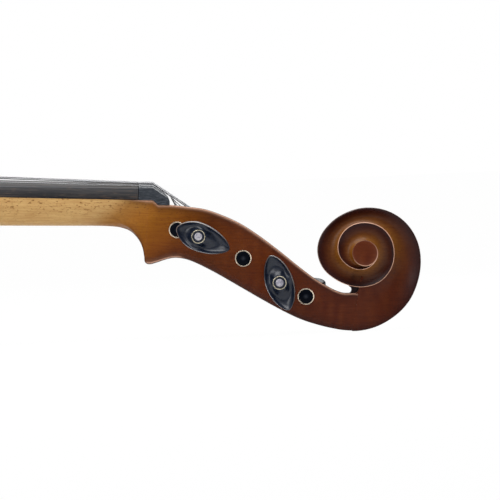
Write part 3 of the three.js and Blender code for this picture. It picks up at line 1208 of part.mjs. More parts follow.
function stringStations({ diameter, peg: letter, lane, way, turns }, share) {
  const peg = pegStations[letter];
  const radius = diameter / 2;
  const lift = radius + STRING_GAP;
  const bridgeY = (share * BRIDGE_STRING_SPREAD) / 2;
  const nutY = (share * NUT_STRING_SPREAD) / 2;
  const tailY = tailStringY(share);
  const tailZ = tailTop(tailY) + lift;
  const stations = [];
  if (share > -1) {
    stations.push(fromTail(TAIL_HOLE_X, tailY, -TAILPIECE.thickness * 2));
    stations.push(fromTail(TAIL_HOLE_X, tailY, tailTop(tailY) - TAILPIECE.thickness));
    stations.push(fromTail(TAIL_HOLE_X + TAIL_BEND, tailY, tailTop(tailY) - TAIL_BEND));
    stations.push(fromTail(TAIL_HOLE_X + TAIL_HOLE, tailY, tailZ));
    stations.push(fromTail(SEAT_GAP, tailY, tailZ));
  } else {
    const hookZ = TUNER_LEVER.slotFloor + radius + TUNER_LEVER.slot / 2;
    stations.push(fromTuner(TUNER_LEVER.pivotX - OVERRUN, 0, hookZ));
    stations.push(fromTuner(TUNER_LEVER.pivotX + OVERRUN, 0, hookZ));
  }
  const bridgeZ = bridge.crownHeight(bridgeY) + lift;
  const crestHalf = BRIDGE.top / 2;
  stations.push(new THREE.Vector3(bridgeX - crestHalf, bridgeY, bridgeZ));
  stations.push(new THREE.Vector3(bridgeX + crestHalf, bridgeY, bridgeZ));
  const nutZ = NUT.height - sagitta(BOARD_ARCH_RADIUS, Math.abs(nutY)) + lift;
  stations.push(fromNeck(-NUT.lead, nutY, nutZ));
  stations.push(fromNeck(NUT.crown, nutY, nutZ));
  const windingRadius = PEG_COLLAR_RADIUS + WINDING_CLEARANCE + radius;
  let leave = { x: NUT.crown, z: nutZ };
  const shoulder = {
    x: NUT.length * nutShoulder.alongShare + radius, z: NUT.height * nutShoulder.upShare + lift,
  };
  const direct = touchPoint(leave, peg, windingRadius);
  const overShoulder = lerp(leave.z, direct.z, (shoulder.x - leave.x) / (direct.x - leave.x));
  if (overShoulder < shoulder.z) {
    leave = shoulder;
    const y = lerp(nutY, lane, nutShoulder.laneShare);
    stations.push(fromNeck(shoulder.x, y, shoulder.z));
  }
  const touch = touchPoint(leave, peg, windingRadius);
  const pitch = diameter + WINDING_SPACE;
  const steps = turns * windingSteps;
  for (let i = 0; i <= steps; i += 1) {
    const turn = touch.angle - (2 * Math.PI * i) / windingSteps;
    const y = lane + way * pitch * (i / windingSteps);
    const [x, z] = [peg.x + windingRadius * Math.cos(turn), peg.z + windingRadius * Math.sin(turn)];
    stations.push(fromNeck(x, y, z));
  }
  return stations;
}

// The least distance between turns of one winding, measured on its points, less the string's thickness.
function leastGap(stations, diameter, turns) {
  const winding = stations.slice(-(turns * windingSteps + 1));
  let least = Infinity;
  winding.forEach((p, i) => {
    winding.slice(i + windingSteps / 2).forEach((q) => {
      least = Math.min(least, p.distanceTo(q) - diameter);
    });
  });
  return least;
}

strings.forEach((string, i) => {
  const stations = stringStations(string, stringShares[i]);
  add(body, `string_${string.letter}`, cord(stations, string.diameter, 5), 'stringWrap');
  const gap = leastGap(stations, string.diameter, string.turns);
  console.log(`string_${string.letter} winding gap ${gap.toFixed(2)}`);
});

// The viola rests on the arch of its back and on the underside of the scroll: the body is tilted until both
// touch the table, and the origin is put on the table under the middle of the whole instrument.
viola.updateMatrixWorld(true);
const restingPoints = ['back_plate', 'neck_scroll'].map((name) => {
  const mesh = viola.getObjectByName(name);
  const position = mesh.geometry.getAttribute('position');
  return Array.from({ length: position.count }, (_, i) => new THREE.Vector3()
    .fromBufferAttribute(position, i).applyMatrix4(mesh.matrixWorld));
});
const lowest = (points, tilt) => Math.min(...points.map((p) => p.x * Math.sin(tilt) + p.z * Math.cos(tilt)));
let [level, steep] = [0, neckAngle];
for (let i = 0; i < 40; i += 1) {
  const tilt = (level + steep) / 2;
  if (lowest(restingPoints[1], tilt) < lowest(restingPoints[0], tilt)) level = tilt;
  else steep = tilt;
}
body.rotation.y = -level;
viola.updateMatrixWorld(true);
const bounds = new THREE.Box3().setFromObject(viola, true);
const centre = bounds.getCenter(new THREE.Vector3());
body.position.set(-centre.x, -centre.y, -bounds.min.z);

export default viola;
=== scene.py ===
# A five-string viola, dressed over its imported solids. It lies on its back, the scroll to the right.
import math

import bmesh
import bpy
import numpy as np
from mathutils import Matrix, Vector


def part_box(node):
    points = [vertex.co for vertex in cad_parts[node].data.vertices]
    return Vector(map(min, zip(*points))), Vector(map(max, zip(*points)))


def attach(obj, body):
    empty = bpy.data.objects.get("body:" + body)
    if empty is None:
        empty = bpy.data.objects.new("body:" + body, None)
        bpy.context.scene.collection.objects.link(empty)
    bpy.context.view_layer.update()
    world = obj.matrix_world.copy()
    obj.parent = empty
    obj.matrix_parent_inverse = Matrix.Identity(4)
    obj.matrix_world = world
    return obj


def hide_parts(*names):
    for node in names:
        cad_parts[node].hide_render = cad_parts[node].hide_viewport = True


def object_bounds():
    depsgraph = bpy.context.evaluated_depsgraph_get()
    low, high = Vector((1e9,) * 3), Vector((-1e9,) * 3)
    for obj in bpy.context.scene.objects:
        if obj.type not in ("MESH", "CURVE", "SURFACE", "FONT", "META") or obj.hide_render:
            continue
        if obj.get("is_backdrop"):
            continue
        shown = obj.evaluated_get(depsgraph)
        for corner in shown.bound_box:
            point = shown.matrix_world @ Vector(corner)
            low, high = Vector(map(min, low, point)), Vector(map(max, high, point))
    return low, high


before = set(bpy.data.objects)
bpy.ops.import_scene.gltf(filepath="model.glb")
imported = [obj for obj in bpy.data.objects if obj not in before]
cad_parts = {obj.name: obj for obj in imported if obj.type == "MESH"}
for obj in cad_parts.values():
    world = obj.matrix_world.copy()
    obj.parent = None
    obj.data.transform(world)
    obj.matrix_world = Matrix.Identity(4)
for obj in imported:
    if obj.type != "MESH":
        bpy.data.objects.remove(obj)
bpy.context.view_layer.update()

# Frames. The neck's frame has x = 0 at the end of the fingerboard, z = 0 at the board's glue plane; it is
# found from the axes of two pegs. The body's frame lies six degrees to it. Both count in millimetres.
PEGS = {  # place of the axis in the neck's frame, side of the head, and the head's angle
    "c": (15.3, -14.5, 1, 23), "e": (26.2, -17.3, -1, 21), "g": (48.5, -28.1, 1, 28),
    "a": (66.7, -39.3, -1, 70), "d": (80.1, -46.5, 1, -34),
}
NECK_LENGTH, NECK_ANGLE, GLUE_PLANE = 148.0, math.radians(6), 12.7


def peg_axis(letter):
    low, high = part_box(f"peg_{letter}_eye_dot")
    middle = (low + high) / 2
    return np.array([middle.x, middle.z]) * 1000


first, last = peg_axis("c"), peg_axis("d")
run = last - first
plan = np.array(PEGS["d"][:2]) - np.array(PEGS["c"][:2])
slope = math.atan2(plan[1], plan[0]) - math.atan2(run[1], run[0])


def turned_by(angle):
    """A turn in the x-z plane that tips +x down by the angle."""
    return np.array([[math.cos(angle), 0, math.sin(angle)], [0, 1, 0],
                     [-math.sin(angle), 0, math.cos(angle)]])


neck_turn, body_turn = turned_by(slope), turned_by(slope - NECK_ANGLE)
neck_origin = np.array([first[0], 0, first[1]]) - neck_turn @ np.array([PEGS["c"][0], 0, PEGS["c"][1]])
nut_in_body = np.array([NECK_LENGTH * math.cos(NECK_ANGLE), 0,
                        GLUE_PLANE - NECK_LENGTH * math.sin(NECK_ANGLE)])
body_origin = neck_origin - body_turn @ nut_in_body


def from_neck(points):
    return np.asarray(points, float) @ neck_turn.T + neck_origin


def from_body(points):
    return np.asarray(points, float) @ body_turn.T + body_origin


def to_neck(points):
    return (np.asarray(points, float) - neck_origin) @ neck_turn


def to_body(points):
    return (np.asarray(points, float) - body_origin) @ body_turn


# Camera: level with the head on the treble side, rolled so that the body's belly line is level as in the
# photograph, a long lens three metres away. The picture is 250 mm wide at the head.
PICTURE_WIDTH, CAMERA_DISTANCE, CAMERA_HEIGHT, SENSOR = 0.25, 3.0, math.radians(0.8), 36


def in_scene(name, data):
    made = bpy.data.objects.new(name, data)
    bpy.context.scene.collection.objects.link(made)
    return made


target = from_neck([51.8, 0, -24.0]) / 1000
roll = slope - math.radians(1.1)
right = Vector((math.cos(roll), 0, -math.sin(roll)))
level_up = Vector((math.sin(roll), 0, math.cos(roll)))
forward = Vector((0, 1, 0)) * math.cos(CAMERA_HEIGHT) - level_up * math.sin(CAMERA_HEIGHT)
upward = right.cross(forward)
camera_data = bpy.data.cameras.new("camera")
camera_data.sensor_width = SENSOR
camera_data.lens = SENSOR * CAMERA_DISTANCE / PICTURE_WIDTH
camera_data.clip_start = 0.01
camera = in_scene("camera", camera_data)
camera.matrix_world = Matrix.Translation(Vector(target) - forward * CAMERA_DISTANCE) @ Matrix(
    (right, upward, -forward)).transposed().to_4x4()
bpy.context.scene.camera = camera
bpy.context.scene.view_settings.view_transform = "Standard"

# Light and floor: one pale floor, three wide soft lights, and a white surround that the camera and the
# reflections see. What lights the wood by bounce is dimmer, so that the carving keeps its form.
def node(tree, kind, inputs=None, **settings):
    made = tree.nodes.new(kind)
    for key, value in settings.items():
        setattr(made, key, value)
    for key, value in (inputs or {}).items():
        socket = made.inputs[key]
        if isinstance(value, bpy.types.NodeSocket):
            tree.links.new(value, socket)
        else:
            socket.default_value = value
    return made


def math_node(tree, kind, a, b=0.0, c=0.0):
    return node(tree, "ShaderNodeMath", {0: a, 1: b, 2: c}, operation=kind).outputs[0]


world = bpy.data.worlds.new("studio")
bpy.context.scene.world = world
world.use_nodes = True
tree = world.node_tree
tree.nodes.clear()
ray = node(tree, "ShaderNodeLightPath").outputs
seen_ray = math_node(tree, "MAXIMUM", ray["Is Camera Ray"], ray["Is Transmission Ray"])
bright_ray = math_node(tree, "MAXIMUM", seen_ray, ray["Is Glossy Ray"])
ray_way = node(tree, "ShaderNodeSeparateXYZ", {0: node(tree, "ShaderNodeTexCoord").outputs["Generated"]})
mirrored_sky = node(tree, "ShaderNodeMapRange", {
    "Value": ray_way.outputs["Z"], "From Min": 0.1, "From Max": 0.6, "To Min": 0.1, "To Max": 1.0})
sky = math_node(tree, "MAXIMUM", mirrored_sky.outputs[0], seen_ray)
surround = node(tree, "ShaderNodeBackground", {"Color": (1, 1, 1, 1), "Strength": sky})
bounce = node(tree, "ShaderNodeBackground", {"Color": (0.93, 0.96, 1, 1), "Strength": 0.5})
chosen = node(tree, "ShaderNodeMixShader", {0: bright_ray, 1: bounce.outputs[0], 2: surround.outputs[0]})
node(tree, "ShaderNodeOutputWorld", {"Surface": chosen.outputs[0]})


def area_light(name, place, aim, size, power):
    data = bpy.data.lights.new(name, "AREA")
    data.shape, data.size, data.size_y = "RECTANGLE", size[0], size[1]
    data.energy = power
    light = in_scene(name, data)
    direction = Vector(aim) - Vector(place)
    light.matrix_world = Matrix.Translation(place) @ direction.to_track_quat("-Z", "Y").to_matrix().to_4x4()


area_light("overhead", (0.25, -0.35, 1.1), (0.15, 0, 0.05), (1.1, 0.6), 14)
area_light("front", (-0.5, -1.3, 0.75), (0.2, 0, 0.05), (0.7, 0.9), 9)
area_light("behind", (0.5, 1.1, 0.8), (0.2, 0, 0.06), (1.0, 0.5), 7)
floor_mesh = bpy.data.meshes.new("floor")
floor_mesh.from_pydata([(-30, -30, 0), (30, -30, 0), (30, 30, 0), (-30, 30, 0)], [], [(0, 1, 2, 3)])
floor = in_scene("floor", floor_mesh)
floor_look = bpy.data.materials.new("floor")
floor_look.use_nodes = True
tree = floor_look.node_tree
paper = tree.nodes["Principled BSDF"]
paper.inputs["Base Color"].default_value = (0.86, 0.86, 0.86, 1)
paper.inputs["Roughness"].default_value = 0.9
paper.inputs["Specular IOR Level"].default_value = 0.1
white = node(tree, "ShaderNodeEmission", {"Color": (1, 1, 1, 1), "Strength": 1.0})
ray = node(tree, "ShaderNodeLightPath").outputs
share_of_white = math_node(tree, "MULTIPLY", ray["Is Camera Ray"], 0.985)
mixed = node(tree, "ShaderNodeMixShader", {0: share_of_white, 1: paper.outputs[0], 2: white.outputs[0]})
tree.links.new(mixed.outputs[0], tree.nodes["Material Output"].inputs["Surface"])
floor_mesh.materials.append(floor_look)
floor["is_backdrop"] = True

# Neck and head. One skin runs from the heel to the end of the pegbox; its section changes from the heel's
# wedge through the round neck to the square pegbox with two channels along its back.
MM = 0.001
HEAD_LENGTH, EYE_X, EYE_Z = 137.8, 109.0, -24.3
SCROLL_REACH, SCROLL_HALF_WIDTH, SCROLL_EYE = 39.4, 22.0, 6.4
SCROLL_START = 0.755 * HEAD_LENGTH
BUTTON_RADIUS, RIB_FOOT = 12.0, -37.7


def smooth_table(knots, values, at, held=True):
    """Values at places between the rows of a table, on a smooth curve that doesn't overshoot where held."""
    knots, values = np.asarray(knots, float), np.asarray(values, float)
    flat = values.ndim == 1
    values = values[:, None] if flat else values
    at = np.clip(np.asarray(at, float), knots[0], knots[-1])
    low, high = np.maximum(np.arange(len(knots)) - 1, 0), np.minimum(np.arange(len(knots)) + 1,
                                                                     len(knots) - 1)
    slopes = (values[high] - values[low]) / (knots[high] - knots[low])[:, None]
    if held:
        steps = np.diff(values, axis=0)
        turns = steps[1:] * steps[:-1] <= 0
        slopes[1:-1][turns] = 0
    i = np.clip(np.searchsorted(knots, at, side="right") - 1, 0, len(knots) - 2)
    span = (knots[i + 1] - knots[i])[:, None]
    t = ((at - knots[i]) / span[:, 0])[:, None]
    a, b = values[i], values[i + 1]
    result = (a * (2 * t ** 3 - 3 * t ** 2 + 1) + b * (3 * t ** 2 - 2 * t ** 3)
              + slopes[i] * span * (t ** 3 - 2 * t ** 2 + t) + slopes[i + 1] * span * (t ** 3 - t ** 2))
    return result[:, 0] if flat else result


def through(points, spacing, closed=False, held=False):
    """Evenly spaced points on a smooth curve through the given ones."""
    points = np.asarray(points, float)
    if closed:
        points = np.vstack([points, points[:1]])
    knots = np.concatenate([[0], np.cumsum(np.linalg.norm(np.diff(points, axis=0), axis=1))])
    count = max(int(knots[-1] / spacing), 2)
    if closed:
        knots = np.concatenate([knots[-3:-1] - knots[-1], knots, knots[-1] + knots[1:3]])
        points = np.vstack([points[-3:-1], points, points[1:3]])
        return smooth_table(knots, points, np.linspace(0, knots[-3], count, endpoint=False), False)
    return smooth_table(knots, points, np.linspace(0, knots[-1], count + 1), held)


def smoothstep(x, low, high):
    t = np.clip((x - low) / (high - low), 0, 1)
    return t * t * (3 - 2 * t)


def lerp(a, b, t):
    return a + (b - a) * t


def skin(rings, closed_ends=True):
    """Faces over rings with equal numbers of points, as vertices and faces, with a fan at each end."""
    rings = np.asarray(rings, float)
    stations, around = rings.shape[:2]
    verts = rings.reshape(-1, 3)
    k, i = np.meshgrid(np.arange(stations - 1), np.arange(around), indexing="ij")
    j = (i + 1) % around
    faces = np.stack([k * around + i, k * around + j, (k + 1) * around + j, (k + 1) * around + i], -1)
    faces = faces.reshape(-1, 4).tolist()
    if closed_ends:
        for ring, base in ((rings[0], 0), (rings[-1], (stations - 1) * around)):
            centre = len(verts)
            verts = np.vstack([verts, ring.mean(axis=0)])
            faces += [[base + i, base + (i + 1) % around, centre] for i in range(around)]
    return verts, faces


def raw_object(name, verts, faces, attributes=None):
    """A mesh object whose faces all point outwards, with its values for each point."""
    mesh = bpy.data.meshes.new(name)
    mesh.from_pydata(np.asarray(verts).tolist(), [], faces)
    for key, values in (attributes or {}).items():
        full = np.zeros(len(mesh.vertices), np.float32)
        full[:len(values)] = values
        mesh.attributes.new(key, "FLOAT", "POINT").data.foreach_set("value", full)
    shape = bmesh.new()
    shape.from_mesh(mesh)
    bmesh.ops.recalc_face_normals(shape, faces=shape.faces)
    shape.to_mesh(mesh)
    shape.free()
    return in_scene(name, mesh)


def worked(made):
    """Puts what an object's modifiers make of it into its mesh, and takes them off."""
    bpy.context.view_layer.update()
    mesh = bpy.data.meshes.new_from_object(made.evaluated_get(bpy.context.evaluated_depsgraph_get()))
    made.modifiers.clear()
    made.data = mesh
    return made


def carve(target, *cutters):
    """Cuts the cutters out of the target; all of them are in millimetres in one frame."""
    for cutter in cutters:
        modifier = target.modifiers.new("cut", "BOOLEAN")
        modifier.operation, modifier.solver, modifier.object = "DIFFERENCE", "EXACT", cutter
        worked(target)
        bpy.data.objects.remove(cutter)


def merged(name, *objects):
    """One object from several, with their attributes."""
    names = sorted({a.name for o in objects for a in o.data.attributes
                    if a.data_type == "FLOAT" and a.domain == "POINT"})
    verts, faces, values, start = [], [], {n: [] for n in names}, 0
    for o in objects:
        count = len(o.data.vertices)
        co = np.zeros(count * 3)
        o.data.vertices.foreach_get("co", co)
        verts.append(co.reshape(-1, 3))
        faces += [[start + v for v in p.vertices] for p in o.data.polygons]
        for n in names:
            row = np.zeros(count, np.float32)
            if n in o.data.attributes:
                o.data.attributes[n].data.foreach_get("value", row)
            values[n].append(row)
        start += count
        bpy.data.objects.remove(o)
    return raw_object(name, np.vstack(verts), faces, {n: np.concatenate(v) for n, v in values.items()})


def finished(made, place, body, material, replaces=(), sharp=35):
    """Puts a piece that was made in millimetres in its place in metres, and says what it is."""
    mesh = made.data
    co = np.zeros(len(mesh.vertices) * 3)
    mesh.vertices.foreach_get("co", co)
    co = place(co.reshape(-1, 3)) * MM
    mesh.vertices.foreach_set("co", co.astype(np.float32).ravel())
    mesh.polygons.foreach_set("use_smooth", [True] * len(mesh.polygons))
    mesh.set_sharp_from_angle(angle=math.radians(sharp))
    mesh.materials.clear()
    mesh.materials.append(material)
    mesh.update()
    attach(made, body)
    if replaces:
        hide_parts(*replaces)
    return made


def board_half(x):
    return lerp(26.4, 46.0, -x / 297.0) / 2


def pegbox_half(x):
    return lerp(13.2, 10.0, np.maximum(x, 0) / SCROLL_START)


CHEEK_TOP = np.array([
    [0.083, -0.0165], [0.138, -0.021], [0.21, -0.03], [0.27, -0.049], [0.339, -0.079], [0.41, -0.123],
    [0.486, -0.178], [0.553, -0.23], [0.615, -0.275], [0.655, -0.298], [0.689, -0.315], [0.725, -0.324],
    [0.76, -0.322]]) * HEAD_LENGTH
HEAD_BACK = np.array([
    [-0.131, -0.098], [-0.095, -0.1015], [-0.06, -0.114], [-0.033, -0.139], [-0.0145, -0.1705],
    [-0.006, -0.207], [-0.003, -0.2275], [0.011, -0.2335], [0.037, -0.227], [0.081, -0.212], [0.113, -0.208],
    [0.157, -0.216], [0.234, -0.25], [0.343, -0.309], [0.41, -0.346], [0.49, -0.388], [0.56, -0.42],
    [0.636, -0.443], [0.709, -0.457], [0.757, -0.46]]) * HEAD_LENGTH


def cheek_top(x):
    smooth = smooth_table(CHEEK_TOP[:, 0], CHEEK_TOP[:, 1], x)
    seat = lerp(0, CHEEK_TOP[0, 1], np.clip((x - 3.0) / 2.6, 0, 1))
    return np.where(x < CHEEK_TOP[0, 0], seat, smooth)


u = np.linspace(0, 1, 27)[1:]
bow = u * math.pi / 2
ROUND = np.stack([np.cos(bow) ** (2 / 2.55), -np.sin(bow) ** (2 / 2.55)], -1)
HEEL = np.stack([np.interp(u, [0, .125, .25, .375, .49, .56, 1], [1, .96, .86, .74, .63, .55, 0]),
                 -np.interp(u, [0, .125, .25, .375, .49, .56, 1], [0, .25, .5, .75, .95, 1, 1])], -1)
SQUARE = np.stack([np.interp(u, [0, .25, .46, .5, .54, .77, 1], [1, 1, 1, .985, .95, .5, 0]),
                   -np.interp(u, [0, .25, .46, .5, .54, .77, 1], [0, .5, .95, .972, .985, .985, 1])], -1)
CHANNEL = np.sin(np.pi * np.clip((u - 0.56) / 0.4, 0, 1)) ** 1.3
CORNER = np.exp(-((u - 0.5) / 0.035) ** 2)


def both_halves(values):
    """Values along half a ring, and back along its other half."""
    return np.concatenate([values, values[-2::-1]])


def neck_ring(x, top, low, half, square, heel, flute):
    """The section at one place: points from the middle of the top round to itself, how pale each is drawn
    (worn edge and painted highlight), and how dark near the rims.
    """
    shape = lerp(lerp(ROUND, HEEL, heel), SQUARE, square)
    w, z = shape[:, 0] * half, top + shape[:, 1] * (top - low) + flute * CHANNEL * square
    edge = 0.08 + 0.32 * square
    w = np.concatenate([[half - edge - 0.5, half - edge, half], w])
    z = np.concatenate([[top, top, top - edge], z])
    chin = float(smoothstep(x, -1, 1) * smoothstep(x, 22, 16))
    # Pale worn edges along the top, the corners of the back and round the chin, partly painted highlight.
    wear = np.concatenate([[0, 0.95 * square, 0.8 * square],
                           np.maximum(chin * CORNER ** 0.7, 0.3 * square * CORNER)])
    to_edge = np.minimum(top - z, np.maximum(z - low, 0))
    rim = 0.75 * square * np.exp(-(to_edge / 2.6) ** 1.3)
    half_ring = np.stack([np.full(len(w), x), -w, z], -1)
    return np.vstack([half_ring, half_ring[-2::-1] * [1, -1, 1]]), both_halves(wear), both_halves(rim)


rings, wear_and_highlight_rows, rims_dark = [], [], []
heel_rows = np.array([[-0.5, 1, 1], [0, 1, 1], [0.9, 1, 0.95], [1.12, 0.8, 0.8], [1.45, 0.5, 0.6],
                      [2, 0.22, 0.35],
                      [2.8, 0.06, 0.15], [3.7, 0, 0]])
heel_at = np.concatenate([[-0.5, 0, 0.45, 0.8, 0.87], np.linspace(0.9, 1.6, 16), np.linspace(1.68, 3.7, 16)])
for place, deep, heel in zip(heel_at, *smooth_table(heel_rows[:, 0], heel_rows[:, 1:], heel_at).T):
    x = place * BUTTON_RADIUS
    top = GLUE_PLANE - x * math.tan(NECK_ANGLE)
    low = lerp(top - 15.5 / math.cos(NECK_ANGLE), RIB_FOOT, deep)
    ring, wear, rim = neck_ring(x, top, low, board_half(x - NECK_LENGTH) - 0.15, 0, heel, 0)
    rings.append(to_neck(from_body(ring)))
    wear_and_highlight_rows.append(wear)
    rims_dark.append(rim)
shaft = [[-share * NECK_LENGTH, -lerp(13, 15.5, share)] for share in (0.6, 0.35, 0.16)]
back_line = through(np.vstack([shaft, HEAD_BACK]), 0.7)
back_line[:, 0] = np.maximum.accumulate(back_line[:, 0] + np.arange(len(back_line)) * 1e-5)
for x, low in back_line:
    square = float(smoothstep(x / HEAD_LENGTH, -0.132, -0.005))
    half = board_half(x) - 0.15 if x < 0 else float(pegbox_half(x))
    ring, wear, rim = neck_ring(x, float(cheek_top(np.array([x]))[0]) if x > 0 else 0.0, low, half, square, 0,
                                1.1)
    rings.append(ring)
    wear_and_highlight_rows.append(wear)
    rims_dark.append(rim)
last = SCROLL_START + 7.9
ring, wear, rim = neck_ring(last, -0.322 * HEAD_LENGTH - 1.6, -0.46 * HEAD_LENGTH + 3.3, 9.1, 1, 0, 0)
rings.append(ring)
wear_and_highlight_rows.append(wear * 0)
rims_dark.append(rim)
neck_body = raw_object("neck_body", *skin(rings), {
    "wear": np.concatenate(wear_and_highlight_rows), "rim": np.concatenate(rims_dark), "glow": np.zeros(1)})

# The pegbox is hollowed out, and the holes for the pegs go through both cheeks, countersunk at the tips
hollow = np.vstack([[[0.087, 0.03], [0.087, -0.03], [0.055, -0.06]], through(
    [[0.055, -0.155], [0.157, -0.169], [0.234, -0.203], [0.343, -0.262], [0.49, -0.346], [0.58, -0.386],
     [0.64, -0.398], [0.685, -0.385], [0.705, -0.345], [0.71, -0.26]], 0.012)]) * HEAD_LENGTH


def between(name, near, far):
    """A body between two closed loops with equal numbers of points."""
    count = len(near)
    faces = [[i, (i + 1) % count, (i + 1) % count + count, i + count] for i in range(count)]
    return raw_object(name, np.vstack([near, far]),
                      faces + [list(range(count)), list(range(count, 2 * count))])


def prism(name, profile, half_at):
    """A profile in x and z, carried to both sides of the middle plane."""
    profile = np.asarray(profile)
    near = np.stack([profile[:, 0], -half_at(profile[:, 0]), profile[:, 1]], -1)
    return between(name, near, near * [1, -1, 1])


def turned(profile, sides):
    """A body turned about the y axis from pairs of radius and place."""
    profile = np.asarray(profile, float)
    angles = np.arange(sides) * 2 * math.pi / sides
    rings = [np.stack([r * np.cos(angles), np.full(sides, y), r * np.sin(angles)], -1) for r, y in profile]
    return skin(rings)


def joined(parts):
    """Vertices and faces of several bodies as one."""
    verts, faces, start = [], [], 0
    for part_verts, part_faces in parts:
        verts.append(part_verts)
        faces += [[start + v for v in face] for face in part_faces]
        start += len(part_verts)
    return np.vstack(verts), faces


bores, rims = [], []
for x, z, side, angle in PEGS.values():
    half = float(pegbox_half(x))
    for kind, profile in ((bores, [[3.55, -half - 2], [4.25, half + 2]]),
                          (rims, [[5.2, -half - 2], [4.1, -half], [3.55, -half + 0.35]])):
        verts, faces = turned(profile, 48)
        kind.append((verts * [1, side, 1] + [x, 0, z], faces))
carve(neck_body, prism("hollow", hollow, lambda x: lerp(8.1, 5.2, x / SCROLL_START)),
      raw_object("bores", *joined(bores)), raw_object("rims", *joined(rims)))

# The scroll: two and a half turns, each with a hollow between its raised edge and the foot of the next
SCROLL_RADIUS = np.array([
    [-112, 1.03], [-98, 1], [-84, 0.957], [-67, 0.896], [-49, 0.838], [-28, 0.766], [-9, 0.722], [15, 0.683],
    [36, 0.65], [60, 0.612], [84, 0.579], [113, 0.56], [138, 0.569], [162, 0.593], [180, 0.595], [200, 0.564],
    [223, 0.499], [247, 0.453], [274, 0.426], [299, 0.409], [325, 0.391], [359, 0.374], [390, 0.381],
    [418, 0.389], [448, 0.39], [474, 0.393], [499, 0.385], [522, 0.363], [546, 0.328], [570, 0.28],
    [604, 0.228], [636, 0.195], [665, 0.172], [700, 0.163], [1140, 0.1625]])
SCROLL_WIDTH = np.array([
    [-112, 0.455], [-98, 0.455], [-30, 0.4], [30, 0.36], [90, 0.35], [150, 0.38], [200, 0.42], [247, 0.47],
    [300, 0.54], [360, 0.63], [420, 0.71], [480, 0.79], [540, 0.86], [600, 0.92], [660, 0.965], [720, 0.99],
    [1140, 1]])


def scroll_radius(angle):
    return smooth_table(SCROLL_RADIUS[:, 0], SCROLL_RADIUS[:, 1], np.atleast_1d(angle), False) * SCROLL_REACH


def scroll_width(angle):
    return smooth_table(SCROLL_WIDTH[:, 0], SCROLL_WIDTH[:, 1], np.atleast_1d(angle),
                        False) * SCROLL_HALF_WIDTH


def scroll_turn(name, start, end):
    rings, wear_and_highlight_rows, painted_highlights, darks_and_shades = [], [], [], []
    core = float(scroll_width(start)[0]) * 0.8
    outer = start < 250
    across = np.append(np.linspace(0, 0.975, 22), [0.992, 1])
    for angle in np.arange(start, end + 1.25, 2.5):
        radius, wide = float(scroll_radius(angle)[0]), float(scroll_width(angle)[0])
        next_radius = min(float(scroll_radius(angle + 360)[0]), radius * 0.8)
        inner = max(next_radius, SCROLL_EYE * 0.8)
        foot = lerp(wide, float(scroll_width(angle + 360)[0]), 0.12)
        hollow_depth = 1.9 * float(smoothstep(angle, -95, -20))
        chamfer = 0.28
        worn_and_lit = 0.35 + 0.65 * float(smoothstep(angle, 150, 230))
        r = lerp(inner * 0.9, radius - chamfer, across)
        y = lerp(foot, wide, across) - hollow_depth * np.sin(np.pi * across ** 0.85) ** 1.2
        # Painted highlight: amber light on the hollow of each turn near the foot of the next one.
        glow = (1 - across) ** 1.7 * np.clip(across / 0.08, 0, 1) * float(smoothstep(angle, -60, 40))
        # Painted shade: further on, each turn's wall darkens towards its outer edge as the shading of its
        # hollow; at the start of the scroll it is darker near the edges.
        near_edge = 0.75 * np.exp(-(((radius - r) / 2.6) ** 1.3))
        dark = lerp(near_edge, across ** 1.3, float(smoothstep(angle, -98, -20)))
        back = np.linspace(0, 1, 13)[1:]
        flute = (1.1 if outer else 0.35) * np.sin(np.pi * np.clip(back / 0.86, 0, 1)) ** 1.4
        half_r = np.concatenate([[0], r, [radius], radius - flute])
        half_y = np.concatenate([[core], y, [wide - chamfer], (wide - chamfer) * (1 - back)])
        half_wear_and_highlight = np.concatenate([[0], np.where(across > 0.999, worn_and_lit, 0), [worn_and_lit], np.zeros(len(back))])
        half_painted_highlight = np.concatenate([[0], glow, [0], np.zeros(len(back))])
        half_dark_and_shaded = np.concatenate([[0], dark, [1], np.full(len(back), 0.55)])
        turn = math.radians(angle)
        ring = np.stack([EYE_X + half_r * math.cos(turn), -half_y, EYE_Z + half_r * math.sin(turn)], -1)
        rings.append(np.vstack([ring, ring[-2::-1] * [1, -1, 1]]))
        wear_and_highlight_rows.append(both_halves(half_wear_and_highlight))
        painted_highlights.append(both_halves(half_painted_highlight))
        darks_and_shades.append(both_halves(half_dark_and_shaded))
    return raw_object(name, *skin(rings), {
        "wear": np.concatenate(wear_and_highlight_rows), "glow": np.concatenate(painted_highlights), "rim": np.concatenate(darks_and_shades)})


turns = [scroll_turn(f"turn_{start}", start, end) for start, end in
         ((-98, 255), (240, 270), (256, 606), (592, 622), (607, 760))]
eye_rim = [[SCROLL_EYE, -SCROLL_HALF_WIDTH + 0.5], [SCROLL_EYE, -SCROLL_HALF_WIDTH + 0.25],
           [SCROLL_EYE - 0.2, -SCROLL_HALF_WIDTH], [SCROLL_EYE - 0.6, -SCROLL_HALF_WIDTH],
           [2.5, -SCROLL_HALF_WIDTH]]
eye_profile = eye_rim[::-1] + [[r, -y] for r, y in eye_rim]
eye_verts, eye_faces = turned(eye_profile, 64)
